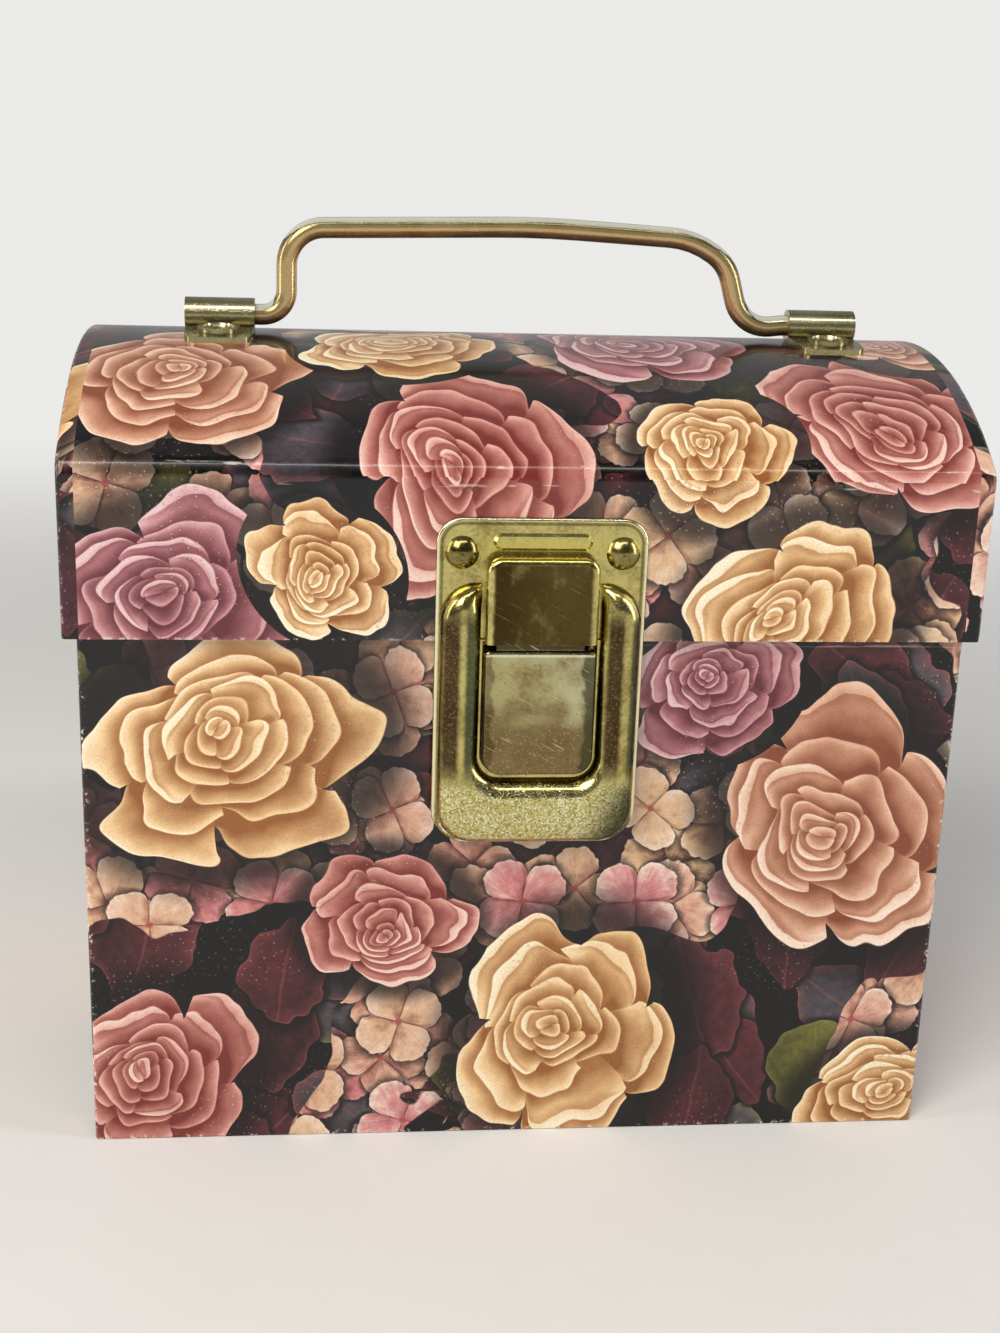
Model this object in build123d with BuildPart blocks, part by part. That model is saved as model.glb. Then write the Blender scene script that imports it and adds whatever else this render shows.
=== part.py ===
from build123d import *
from math import asin, cos, degrees, radians, sin, sqrt
import os

os.makedirs("parts", exist_ok=True)

# Board and paper, in millimetres
board = 1.6
paper = 0.15  # printed covering sheet
lining = 0.15  # plain sheet inside
edge_round = 1.0  # outer edges, softened under the paper
inner_round = 0.3
turn_under = 8.0  # covering sheet folded under the base
base_margin = 3.0  # base sheet stops this far inside the outline

# Case body
body_width = 155.6
body_depth = 95.8
body_height = 97.0  # floor to the top of the back wall
neck_height = 6.0  # front and end walls run up inside the lid by this much

# Domed lid, proud of the body at the front and ends and flush at the back
lid_gap = 0.3  # between the neck and the lid
seat_gap = 0.3  # between the back walls where they meet
lid_wall_height = 30.0
dome_rise = 16.5
crease_round = 4.0
board_seam = 5.0  # curved board starts this far below the crease
edge_strip = 3.0  # end sheets turned over the dome and the front

# Split rivets: a head, and two flat legs through the wall that are spread inside
cover_rivet_radius = 2.9
cover_rivet_dome = 1.5
small_rivet_radius = 1.7
small_rivet_tall = 0.8
small_rivet_bevel = 0.5
leg_width = 1.5
leg_thick = 0.45
leg_split = 0.1  # between the two legs
leg_spread = 2.6  # from the rivet's middle to a leg's tip
slot_room = 0.05

# Latch cover, pressed from sheet and riveted to the lid
latch_shift = 1.2  # right of centre
sheet = 0.8
cover_rise = 21.8  # above the lid's lower edge
cover_flange = 0.8  # flat edge beside the raised U
cover_foot_flange = 0.7  # and under it
cover_top_round = 4.5
cover_bottom_round = 6.5
cover_rim_round = 0.5
cover_rivet_inset = 4.4
cover_rivet_height = 15.8
frame_shoulder = 10.4  # top of the raised U
frame_proud = 4.4
frame_corner = 6.4
frame_stand = 0.3  # between the U and the window's sides
frame_foot_stand = 1.15  # between the U and the window's foot
bar_width = 7.1
bottom_bar = 11.7
bar_round = 3.2
hood_width = 19.4
hood_rise = 15.6
hood_foot = 0.4
hood_proud = 4.3
hood_corner = 2.6
hood_round = 1.2
lip_width = 0.9
lip_proud = 1.5
lip_seat = 0.2  # the hood's foot stands in the lip by this
bead_inset = 1.2  # from the hood's sides
bead_tall = 3.0
bead_proud = 0.5
bead_stand = 0.6  # above the hood
bead_taper = 45.0

# Push plate, hung on a pin behind the hood
window_side = 0.3  # the window is wider than the hood at each side
plate_room = 0.35  # around the plate in the cover's window
plate_sheet = 0.7
plate_deep = 2.6
plate_head = 1.0  # top of its face, below the lid's lower edge
plate_foot = 23.3
plate_proud_head = 3.2
plate_proud_foot = 4.0
plate_corner = 3.2
plate_head_round = 0.8
plate_edge_round = 0.6
joggle_proud = 2.6  # web between the tongue and the pan
joggle_drop = 1.5
joggle_sheet = 0.6
tongue_inset = 2.4  # from the window's sides
tongue_sheet = 0.45
tongue_proud = 2.5
tongue_rise = 4.7
pivot_proud = 1.1
pivot_rise = 3.5
pivot_radius = 0.45
pivot_ear = 0.8
pivot_room = 0.05
pivot_head = 0.75
pivot_head_thick = 0.4
pin_stand = 0.1  # between a pin's head and what it holds

# Catch plate behind it, riveted to the case
catch_sheet = 0.6
catch_top = 0.8  # below the lid's lower edge
catch_foot = 8.4  # below its window
catch_corner = 3.0
catch_window_top = 10.0
catch_window_room = 1.3
catch_window_corner = 1.0
catch_rivet_stand = 2.7  # from the window's sides
catch_rivet_margin = 2.8  # to the plate's sides
catch_rivet_high = 5.5
catch_rivet_foot = 4.0  # above the plate's foot
ear_inset = 0.15  # inside the tongue's cheeks
ear_throat = (1.3, 1.0)  # how far proud, and how high, on the ear's front edge
ear_elbow = (0.8, -2.0)
ear_toe = (-1.0, -9.0)
spring_sheet = 0.3
spring_width = 6.0
spring_top = 2.0  # heights below the lid's lower edge
spring_bend = 8.5
spring_touch = 16.5
spring_tip = 20.0
spring_hook = 0.5
spring_round = 2.0
spring_room = 0.15

# Back hinges
hinge_spacing = 96.0
hinge_width = 26.0
leaf_sheet = 0.8
leaf_height = 13.0
leaf_corner = 2.5
knuckle_radius = 2.0
knuckle_stand = 0.3  # between the knuckle and the back wall
knuckle_gap = 0.25
leaf_relief = 0.3
pin_radius = 1.0
pin_room = 0.04
pin_head = 1.5
pin_head_thick = 0.6
pin_bevel = 0.35
hinge_rivet_spacing = 15.0
hinge_rivet_drop = 8.0

# Wire handle and its rolled brackets
handle_shift = 2.2  # right of centre
wire_radius = 1.95
wire_room = 0.06
wire_end = 61.5  # tip of the wire, from the handle's middle
bail_height = 16.9
bail_foot_left = (-43.2, 0)
bail_shoulder_left = (-46.2, 13.3)
bail_crown_left = (-30.0, 16.2)
bail_shoulder_right = (36.2, 15.5)
bail_foot_right = (44.2, 0)
bail_radii = [4.0, 4.8, 40.0, 200.0, 6.5, 5.5]
bracket_spacing = 114.9
bracket_width = 12.9
bracket_sheet = 1.0
bracket_reach = 12.6  # from the wire to the front edge
bracket_corner = 2.0
bracket_taper = 0.5
seam_width = 0.25
seam_angle = 38.0  # below level, where the rolled strip comes back to the flange
bracket_rivet_reach = 6.9
bracket_rivet_radius = 3.9
bracket_rivet_rim = 0.8
bracket_rivet_dish = 0.35
bracket_rivet_lip = 0.9
dish_taper = 20.0

# Places worked out from the sizes above
wall = board + paper + lining
front_y = -body_depth / 2
back_y = body_depth / 2
neck_top = body_height + neck_height
floor_top = 2 * paper + board
lid_z = body_height + seat_gap
lid_width = body_width + 2 * (wall + lid_gap)
lid_front_y = front_y - wall - lid_gap
lid_depth = back_y - lid_front_y
lid_mid_y = (lid_front_y + back_y) / 2
crease_z = lid_z + lid_wall_height
crest_z = crease_z + dome_rise
dome_radius = ((lid_depth / 2) ** 2 + dome_rise**2) / (2 * dome_rise)
dome_centre_z = crest_z - dome_radius
window_width = hood_width + 2 * window_side
window_foot = plate_foot + plate_room
frame_width = window_width + 2 * (frame_stand + bar_width)
frame_drop = window_foot + frame_foot_stand + bottom_bar
cover_width = frame_width + 2 * cover_flange
cover_drop = frame_drop + cover_foot_flange
tongue_width = window_width - 2 * tongue_inset
catch_window_foot = plate_foot + catch_window_room
catch_drop = catch_window_foot + catch_foot
catch_rivet_side = window_width / 2 + catch_rivet_stand
catch_width = 2 * (catch_rivet_side + catch_rivet_margin)
hinge_y = back_y + knuckle_stand + knuckle_radius
hinge_z = body_height + seat_gap / 2
reach = 20.0  # longer than any wall that a cut goes through
bevel_for_round = 2 - sqrt(2)  # a bevel as deep at its middle as a round of size 1


def case_outline(inset, height):
    """Rounded rectangle of the case, drawn in by inset, at a height."""
    with BuildSketch(Plane.XY.offset(height)) as outline:
        corner = max(edge_round - inset, inner_round)
        RectangleRounded(body_width - 2 * inset, body_depth - 2 * inset, corner)
    return outline.sketch


def case_block(inset, bottom, rim):
    """Solid case with its neck, drawn in by inset at the sides and by rim at its top edges."""
    with BuildPart() as block:
        extrude(case_outline(inset, bottom), amount=neck_top - rim - bottom)
        notch_front = back_y - wall - lid_gap - rim
        with BuildSketch(Plane.XY.offset(body_height - rim)):
            with Locations((0, notch_front + reach / 2)):
                Rectangle(body_width + reach, reach)
        extrude(amount=reach, mode=Mode.SUBTRACT)
    return block.part


def lid_outline(inset, bottom, side):
    """End view of the lid, drawn in by inset, on the plane x = side."""
    half = lid_depth / 2 - inset
    radius = dome_radius - inset
    crease = dome_centre_z + sqrt(radius**2 - half**2)
    with BuildSketch(Plane.YZ.offset(side)) as outline:
        with BuildLine():
            front, back = lid_mid_y - half, lid_mid_y + half
            Polyline((front, crease), (front, bottom), (back, bottom), (back, crease))
            ThreePointArc((back, crease), (lid_mid_y, dome_centre_z + radius), (front, crease))
        make_face()
        fillet(outline.vertices().group_by(Axis.Y)[-1], crease_round - inset)
    return outline.sketch


def lid_block(inset, bottom, rounded):
    """Solid lid, drawn in by inset on every side, its end rims rounded if asked."""
    side = lid_width / 2 - inset
    with BuildPart() as block:
        extrude(lid_outline(inset, bottom, -side), amount=2 * side)
        if rounded:
            rims = block.faces().filter_by(Axis.X).edges()
            low = block.faces().sort_by(Axis.Z)[0].edges()
            fillet([rim for rim in rims if rim not in low], edge_round - inset)
    return block.part


def latch_point(proud, height):
    """Point of an end view: proud of the lid's front, height above its lower edge."""
    return (lid_front_y - proud, lid_z + height)


def front_plane(proud):
    """Upright plane facing the viewer, centred on the latch at the lid's lower edge."""
    return Plane(origin=(latch_shift, lid_front_y - proud, lid_z), x_dir=(1, 0, 0), z_dir=(0, -1, 0))


def on_plane(plane, points, height):
    """Places on a plane at a height above it."""
    return [plane.offset(height).location * Location((across, up, 0)) for across, up in points]


def wall_slots(plane, points):
    """Slots for the legs of rivets, drawn on a plane."""
    with BuildSketch(plane) as slots:
        with Locations(*points):
            Rectangle(2 * leg_thick + leg_split + 2 * slot_room, leg_width + 2 * slot_room)
    return slots.sketch


def bevelled_head(radius, tall, bevel):
    """Flat rivet head on the XY plane with a bevelled edge."""
    with BuildPart() as head:
        with BuildSketch():
            Circle(radius)
        extrude(amount=tall)
        chamfer(head.faces().sort_by(Axis.Z)[-1].edges(), bevel)
    return head.part


def domed_head(radius, tall):
    """Domed rivet head on the XY plane."""
    with BuildPart() as head:
        with BuildSketch(Plane.XZ):
            with BuildLine():
                TangentArc((0, tall), (radius, 0), tangent=(1, 0))
                Polyline((radius, 0), (0, 0), (0, tall))
            make_face()
        revolve(axis=Axis.Z)
    return head.part


def dished_head(radius, tall, lip, dish):
    """Flat rivet head on the XY plane, hollowed inside its lip."""
    with BuildPart() as head:
        with BuildSketch():
            Circle(radius)
        extrude(amount=tall)
        with BuildSketch(Plane.XY.offset(tall)):
            Circle(radius - lip)
        extrude(amount=-dish, taper=dish_taper, mode=Mode.SUBTRACT)
    return head.part


def split_rivets(head, grip, places):
    """Rivets with a given head at each place, their legs through grip and spread behind it."""
    inner = leg_split / 2
    outer = inner + leg_thick
    back = -grip - leg_thick
    with BuildPart() as rivet:
        add(head)
        with BuildSketch(Plane.XZ.offset(-leg_width / 2)):
            with BuildLine():
                Polyline(
                    (inner, 0), (inner, back), (leg_spread, back),
                    (leg_spread, -grip), (outer, -grip), (outer, 0),
                    close=True,
                )
            make_face()
            mirror(about=Plane.YZ)
        extrude(amount=leg_width)
    with BuildPart() as row:
        with Locations(*places):
            add(rivet.part)
    return row.part


def save(piece, name):
    """Labels a finished piece and writes it."""
    piece.label = name
    export_step(piece, "parts/" + name + ".step")


# Rivet places, across and up on their planes
cover_rivet_side = cover_width / 2 - cover_rivet_inset
cover_rivets = [(side * cover_rivet_side, cover_rivet_height) for side in (-1, 1)]
catch_rivets = [
    (side * catch_rivet_side, -drop)
    for side in (-1, 1)
    for drop in (catch_rivet_high, catch_drop - catch_rivet_foot)
]
back_face = Plane(origin=(0, back_y, hinge_z), x_dir=(-1, 0, 0), z_dir=(0, 1, 0))
hinge_columns = [
    middle + side * hinge_rivet_spacing / 2
    for middle in (-hinge_spacing / 2, hinge_spacing / 2)
    for side in (-1, 1)
]
body_hinge_rivets = [(column, -hinge_rivet_drop) for column in hinge_columns]
lid_hinge_rivets = [(column, hinge_rivet_drop) for column in hinge_columns]
body_front = front_plane(-(wall + lid_gap))
lid_front = front_plane(0)


def bracket_plane(side):
    """Plane on the dome under a bracket's rivet, facing straight out of it."""
    tilt = asin(bracket_rivet_reach / dome_radius)
    foot = (
        handle_shift + side * bracket_spacing / 2,
        lid_mid_y - bracket_rivet_reach,
        dome_centre_z + dome_radius * cos(tilt),
    )
    return Plane(origin=foot, x_dir=(1, 0, 0), z_dir=(0, -sin(tilt), cos(tilt)))


bracket_planes = [bracket_plane(side) for side in (-1, 1)]

# Body boards: floor, front, back and two ends, cut from one hollow block
body_boards = case_block(paper, 2 * paper, paper)
with BuildPart() as board_shell:
    add(body_boards)
    extrude(case_outline(paper + board, floor_top), amount=neck_top, mode=Mode.SUBTRACT)

inner_front = front_y + paper + board
inner_back = back_y - paper - board
inner_side = body_width / 2 - paper - board

with BuildPart() as base_board:
    add(body_boards)
    with BuildSketch(Plane.XY.offset(2 * paper)):
        with Locations((0, (inner_front + inner_back) / 2)):
            Rectangle(2 * inner_side, inner_back - inner_front)
    extrude(amount=board, mode=Mode.INTERSECT)
save(base_board.part, "base_board")



def push_window():
    """Opening behind the push plate, drawn on the case's front."""
    with BuildSketch(body_front) as window:
        with Locations((0, -(catch_window_top + catch_window_foot) / 2)):
            Rectangle(window_width, catch_window_foot - catch_window_top)
    return window.sketch


with BuildPart() as body_front_board:
    add(board_shell.part)
    split(bisect_by=Plane.XZ.offset(-inner_front), keep=Keep.TOP)
    extrude(case_outline(0, 0), amount=2 * paper, mode=Mode.SUBTRACT)
    extrude(push_window(), amount=reach, both=True, mode=Mode.SUBTRACT)
    extrude(wall_slots(body_front, catch_rivets), amount=reach, both=True, mode=Mode.SUBTRACT)
save(body_front_board.part, "body_front_board")

with BuildPart() as body_back_board:
    add(board_shell.part)
    split(bisect_by=Plane.XZ.offset(-inner_back), keep=Keep.BOTTOM)
    extrude(wall_slots(back_face, body_hinge_rivets), amount=reach, both=True, mode=Mode.SUBTRACT)
save(body_back_board.part, "body_back_board")

for side, name in ((-1, "body_left_board"), (1, "body_right_board")):
    with BuildPart() as body_end_board:
        add(board_shell.part)
        with BuildSketch(Plane.XY):
            with Locations((side * (inner_side + reach / 2), (inner_front + inner_back) / 2)):
                Rectangle(reach, inner_back - inner_front)
        extrude(amount=neck_top, mode=Mode.INTERSECT)
    save(body_end_board.part, name)

# Body sheets: printed wrap, sheet under the base, lining
with BuildPart() as body_wrap:
    add(case_block(0, paper, 0))
    add(body_boards, mode=Mode.SUBTRACT)
    extrude(case_outline(wall - lining, floor_top), amount=neck_top, mode=Mode.SUBTRACT)
    extrude(case_outline(turn_under, 0), amount=floor_top, mode=Mode.SUBTRACT)
    extrude(push_window(), amount=wall / 2, both=True, mode=Mode.SUBTRACT)
    extrude(wall_slots(body_front, catch_rivets), amount=wall / 2, both=True, mode=Mode.SUBTRACT)
    extrude(wall_slots(back_face, body_hinge_rivets), amount=wall / 2, both=True, mode=Mode.SUBTRACT)
save(body_wrap.part, "body_wrap")

with BuildPart() as base_sheet:
    extrude(case_outline(base_margin, 0), amount=paper)
save(base_sheet.part, "base_sheet")

with BuildPart() as body_lining:
    add(case_block(paper + board, floor_top, paper))
    extrude(case_outline(wall, floor_top + lining), amount=neck_top, mode=Mode.SUBTRACT)
    extrude(wall_slots(body_front, catch_rivets), amount=2 * wall, both=True, mode=Mode.SUBTRACT)
    extrude(wall_slots(back_face, body_hinge_rivets), amount=2 * wall, both=True, mode=Mode.SUBTRACT)
save(body_lining.part, "body_lining")

# Lid boards: two ends, front, back and the curved top between them
lid_inner = lid_width / 2 - paper - board
lid_boards = lid_block(paper, lid_z + paper, True)
lid_bore = lid_block(paper + board, lid_z - reach, False)
with BuildPart() as lid_board_shell:
    add(lid_boards)
    add(lid_bore, mode=Mode.SUBTRACT)
seam_z = crease_z - board_seam

for side, name in ((-1, "lid_left_board"), (1, "lid_right_board")):
    with BuildPart() as lid_end_board:
        add(lid_boards)
        keep = Keep.TOP if side > 0 else Keep.BOTTOM
        split(bisect_by=Plane.YZ.offset(side * lid_inner), keep=keep)
    save(lid_end_board.part, name)

with BuildPart() as lid_middle:
    add(lid_board_shell.part)
    split(bisect_by=Plane.YZ.offset(lid_inner), keep=Keep.BOTTOM)
    split(bisect_by=Plane.YZ.offset(-lid_inner), keep=Keep.TOP)

with BuildPart() as lid_top_board:
    add(lid_middle.part)
    split(bisect_by=Plane.XY.offset(seam_z), keep=Keep.TOP)
    for plane in bracket_planes:
        extrude(wall_slots(plane, [(0, 0)]), amount=3 * wall, both=True, mode=Mode.SUBTRACT)
save(lid_top_board.part, "lid_top_board")

with BuildPart() as lid_front_board:
    add(lid_middle.part)
    split(bisect_by=Plane.XY.offset(seam_z), keep=Keep.BOTTOM)
    split(bisect_by=Plane.XZ.offset(-lid_mid_y), keep=Keep.TOP)
    extrude(wall_slots(lid_front, cover_rivets), amount=reach, both=True, mode=Mode.SUBTRACT)
save(lid_front_board.part, "lid_front_board")

with BuildPart() as lid_back_board:
    add(lid_middle.part)
    split(bisect_by=Plane.XY.offset(seam_z), keep=Keep.BOTTOM)
    split(bisect_by=Plane.XZ.offset(-lid_mid_y), keep=Keep.BOTTOM)
    extrude(wall_slots(back_face, lid_hinge_rivets), amount=reach, both=True, mode=Mode.SUBTRACT)
save(lid_back_board.part, "lid_back_board")

# Lid sheets: one over the front, dome and back, one on each end, and the lining
lid_hollow = lid_block(wall, lid_z - reach, False)
with BuildPart() as lid_sheet_shell:
    add(lid_block(0, lid_z, True))
    add(lid_boards, mode=Mode.SUBTRACT)
    add(lid_bore, mode=Mode.SUBTRACT)

strip_x = lid_width / 2 - edge_strip
with BuildPart() as lid_wrap:
    add(lid_sheet_shell.part)
    split(bisect_by=Plane.YZ.offset(strip_x), keep=Keep.BOTTOM)
    split(bisect_by=Plane.YZ.offset(-strip_x), keep=Keep.TOP)
    extrude(wall_slots(lid_front, cover_rivets), amount=wall / 2, both=True, mode=Mode.SUBTRACT)
    extrude(wall_slots(back_face, lid_hinge_rivets), amount=wall / 2, both=True, mode=Mode.SUBTRACT)
    for plane in bracket_planes:
        extrude(wall_slots(plane, [(0, 0)]), amount=wall, both=True, mode=Mode.SUBTRACT)
save(lid_wrap.part, "lid_wrap")

for side, name in ((-1, "lid_left_sheet"), (1, "lid_right_sheet")):
    with BuildPart() as lid_end_sheet:
        add(lid_sheet_shell.part)
        keep = Keep.TOP if side > 0 else Keep.BOTTOM
        split(bisect_by=Plane.YZ.offset(side * strip_x), keep=keep)
    save(lid_end_sheet.part, name)

with BuildPart() as lid_lining:
    add(lid_block(paper + board, lid_z + paper, False))
    add(lid_hollow, mode=Mode.SUBTRACT)
    extrude(wall_slots(lid_front, cover_rivets), amount=2 * wall, both=True, mode=Mode.SUBTRACT)
    extrude(wall_slots(back_face, lid_hinge_rivets), amount=2 * wall, both=True, mode=Mode.SUBTRACT)
    for plane in bracket_planes:
        extrude(wall_slots(plane, [(0, 0)]), amount=3 * wall, both=True, mode=Mode.SUBTRACT)
save(lid_lining.part, "lid_lining")


def cover_outline():
    """Flat outline of the latch cover."""
    with BuildSketch(lid_front) as outline:
        with Locations((0, (cover_rise - cover_drop) / 2)):
            Rectangle(cover_width, cover_rise + cover_drop)
        corners = outline.vertices().group_by(Axis.Y)
        fillet(corners[-1], cover_top_round)
        fillet(outline.vertices().group_by(Axis.Y)[0], cover_bottom_round)
    return outline.sketch


def raised_u(inset):
    """Raised U of the cover with round bars, or the bevelled hollow behind it, smaller by inset."""
    with BuildPart() as ridge:
        with BuildSketch(lid_front) as outline:
            width = frame_width - 2 * inset
            with Locations((0, (frame_shoulder - frame_drop) / 2)):
                Rectangle(width, frame_shoulder + frame_drop - 2 * inset)
            fillet(outline.vertices(), frame_corner - inset)
            inner = frame_width - 2 * bar_width + 2 * inset
            inner_foot = frame_drop - bottom_bar + inset
            inner_tall = frame_shoulder + reach + inner_foot
            inner_corner = plate_corner + frame_foot_stand + inset
            with Locations((0, inner_tall / 2 - inner_foot)):
                RectangleRounded(inner, inner_tall, inner_corner, mode=Mode.SUBTRACT)
        extrude(amount=frame_proud - inset)
        crown = ridge.faces().sort_by(Axis.Y)[0].edges()
        if inset:
            chamfer(crown, (bar_round - inset) * bevel_for_round)
        else:
            fillet(crown, bar_round)
    return ridge.part


def hood_block(inset, foot):
    """Raised hood over the pivot, made smaller by inset, its open foot at foot."""
    with BuildPart() as block:
        with BuildSketch(lid_front) as outline:
            tall = hood_rise - inset - foot
            with Locations((0, foot + tall / 2)):
                Rectangle(hood_width - 2 * inset, tall)
            fillet(outline.vertices().group_by(Axis.Y)[-1], hood_corner - inset)
        extrude(amount=hood_proud - inset)
        crown = block.faces().sort_by(Axis.Y)[0]
        rails = crown.edges().sort_by(Axis.Z)[1:]
        if inset:
            chamfer(rails, (hood_round - inset) * bevel_for_round)
        else:
            fillet(rails, hood_round)
    return block.part


with BuildPart() as latch_cover:
    extrude(cover_outline(), amount=sheet)
    fillet(latch_cover.faces().sort_by(Axis.Y)[0].edges(), cover_rim_round)
    add(raised_u(0))
    with BuildSketch(lid_front.offset(sheet)):
        with Locations((0, hood_rise + bead_tall / 2 + bead_stand)):
            SlotOverall(hood_width - 2 * bead_inset, bead_tall)
    extrude(amount=bead_proud, taper=bead_taper)
    with BuildSketch(lid_front) as lip:
        lip_top = hood_foot + lip_seat
        with Locations((0, (lip_top - window_foot - lip_width) / 2)):
            Rectangle(window_width + 2 * lip_width, lip_top + window_foot + lip_width)
        fillet(lip.vertices().group_by(Axis.Y)[0], plate_corner + plate_room + lip_width)
    extrude(amount=lip_proud)
    add(hood_block(0, hood_foot))
    add(raised_u(sheet), mode=Mode.SUBTRACT)
    add(hood_block(sheet, -window_side), mode=Mode.SUBTRACT)
    with BuildSketch(lid_front) as window:
        with Locations((0, (hood_foot - window_foot) / 2)):
            Rectangle(window_width, hood_foot + window_foot)
        fillet(window.vertices().group_by(Axis.Y)[0], plate_corner + plate_room)
    extrude(amount=reach, both=True, mode=Mode.SUBTRACT)
    extrude(wall_slots(lid_front, cover_rivets), amount=reach, both=True, mode=Mode.SUBTRACT)
save(latch_cover.part, "latch_cover")

cover_head = domed_head(cover_rivet_radius, cover_rivet_dome)
latch_cover_rivets = split_rivets(cover_head, sheet + wall, on_plane(lid_front, cover_rivets, sheet))
save(latch_cover_rivets, "latch_cover_rivets")

# Push plate: a shallow pan with a tongue that hangs on the pin
face_tall = plate_foot - plate_head
face_lean = degrees(asin((plate_proud_foot - plate_proud_head) / face_tall))
plate_width = window_width - 2 * plate_room
face_plane = Plane(
    origin=(latch_shift, lid_front_y - plate_proud_head, lid_z - plate_head),
    x_dir=(1, 0, 0),
    z_dir=(0, -cos(radians(face_lean)), sin(radians(face_lean))),
)
with BuildPart() as push_plate:
    with BuildSketch(face_plane) as face:
        with Locations((0, -face_tall / 2)):
            Rectangle(plate_width, face_tall)
        fillet(face.vertices().group_by(Axis.Y)[0], plate_corner)
        fillet(face.vertices().group_by(Axis.Y)[-1], plate_head_round)
    extrude(amount=-plate_deep)
    fillet(push_plate.faces().sort_by(Axis.Y)[0].edges(), plate_edge_round)
    with BuildSketch(face_plane.offset(-plate_sheet)) as hollow:
        with Locations((0, -face_tall / 2 + plate_sheet)):
            Rectangle(plate_width - 2 * plate_sheet, face_tall)
        fillet(hollow.vertices().group_by(Axis.Y)[0], plate_corner - plate_sheet)
    extrude(amount=-plate_deep, mode=Mode.SUBTRACT)
    with BuildSketch(Plane.YZ.offset(latch_shift - tongue_width / 2)) as cheek:
        with BuildLine():
            Polyline(
                latch_point(tongue_proud, tongue_rise),
                latch_point(tongue_proud, -plate_head),
                latch_point(joggle_proud, -plate_head),
                latch_point(joggle_proud, -plate_head - joggle_drop),
                latch_point(pivot_proud, -plate_head - joggle_drop),
                latch_point(pivot_proud, tongue_rise),
                close=True,
            )
        make_face()
        with Locations(latch_point(pivot_proud, pivot_rise)):
            Circle(pivot_ear + pivot_room)
    extrude(amount=tongue_width)
    with BuildSketch(Plane.YZ.offset(latch_shift - tongue_width / 2 + tongue_sheet)):
        with BuildLine():
            Polyline(
                latch_point(tongue_proud - tongue_sheet, reach),
                latch_point(tongue_proud - tongue_sheet, -plate_head - joggle_sheet),
                latch_point(plate_proud_head - plate_sheet, -plate_head - joggle_sheet),
                latch_point(plate_proud_head - plate_sheet, -plate_head - 2 * joggle_drop),
                latch_point(-reach, -plate_head - 2 * joggle_drop),
                latch_point(-reach, reach),
                close=True,
            )
        make_face()
    extrude(amount=tongue_width - 2 * tongue_sheet, mode=Mode.SUBTRACT)
    with BuildSketch(Plane.YZ.offset(latch_shift - tongue_width)):
        with Locations(latch_point(pivot_proud, pivot_rise)):
            Circle(pivot_radius + pivot_room)
    extrude(amount=2 * tongue_width, mode=Mode.SUBTRACT)
save(push_plate.part, "push_plate")

# Catch plate: window for the pan and two ears for the pin
ear_outer = tongue_width / 2 - tongue_sheet - ear_inset
body_skin = wall + lid_gap  # the lid's front stands this far in front of the body
with BuildPart() as catch_plate:
    with BuildSketch(body_front) as outline:
        with Locations((0, -(catch_top + catch_drop) / 2)):
            RectangleRounded(catch_width, catch_drop - catch_top, catch_corner)
        with Locations((0, -(catch_window_top + catch_window_foot) / 2)):
            window_tall = catch_window_foot - catch_window_top
            RectangleRounded(window_width, window_tall, catch_window_corner, mode=Mode.SUBTRACT)
    extrude(amount=catch_sheet)
    for side in (-1, 1):
        start = latch_shift + side * (ear_outer - catch_sheet / 2) - catch_sheet / 2
        with BuildSketch(Plane.YZ.offset(start)):
            with BuildLine():
                Polyline(
                    latch_point(-body_skin + catch_sheet / 2, ear_toe[1]),
                    latch_point(-body_skin + catch_sheet / 2, -catch_top),
                    latch_point(pivot_proud - pivot_ear, -catch_top),
                    latch_point(pivot_proud - pivot_ear, pivot_rise),
                    latch_point(pivot_proud + pivot_ear, pivot_rise),
                    latch_point(*ear_throat),
                    latch_point(*ear_elbow),
                    latch_point(*ear_toe),
                    close=True,
                )
            make_face()
            with Locations(latch_point(pivot_proud, pivot_rise)):
                Circle(pivot_ear)
        extrude(amount=catch_sheet)
    with BuildSketch(Plane.YZ.offset(latch_shift - tongue_width)):
        with Locations(latch_point(pivot_proud, pivot_rise)):
            Circle(pivot_radius + pivot_room)
    extrude(amount=2 * tongue_width, mode=Mode.SUBTRACT)
    extrude(wall_slots(body_front, catch_rivets), amount=wall, both=True, mode=Mode.SUBTRACT)
save(catch_plate.part, "catch_plate")

small_head = bevelled_head(small_rivet_radius, small_rivet_tall, small_rivet_bevel)
catch_places = on_plane(body_front, catch_rivets, catch_sheet)
save(split_rivets(small_head, catch_sheet + wall, catch_places), "catch_plate_rivets")

with BuildPart() as pivot_pin:
    pin_half = tongue_width / 2 + pin_stand
    with BuildSketch(Plane.YZ.offset(latch_shift - pin_half)):
        with Locations(latch_point(pivot_proud, pivot_rise)):
            Circle(pivot_radius)
    extrude(amount=2 * pin_half)
    for side in (-1, 1):
        with BuildSketch(Plane.YZ.offset(latch_shift + side * pin_half)):
            with Locations(latch_point(pivot_proud, pivot_rise)):
                Circle(pivot_head)
        extrude(amount=side * pivot_head_thick)
save(pivot_pin.part, "pivot_pin")

with BuildPart() as catch_spring:
    with BuildSketch(Plane.YZ.offset(latch_shift - spring_width / 2)):
        with BuildLine():
            seat = -body_skin + catch_sheet + spring_sheet / 2
            touch = plate_proud_head - plate_sheet - spring_room
            FilletPolyline(
                latch_point(seat, -spring_top),
                latch_point(seat, -spring_bend),
                latch_point(touch, -spring_touch),
                latch_point(touch - spring_hook, -spring_tip),
                radius=spring_round,
            )
        trace(line_width=spring_sheet)
    extrude(amount=spring_width)
save(catch_spring.part, "catch_spring")

# Back hinges: a leaf on the case with two knuckles, a leaf on the lid with one
knuckle_length = (hinge_width - 2 * knuckle_gap) / 3


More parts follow.
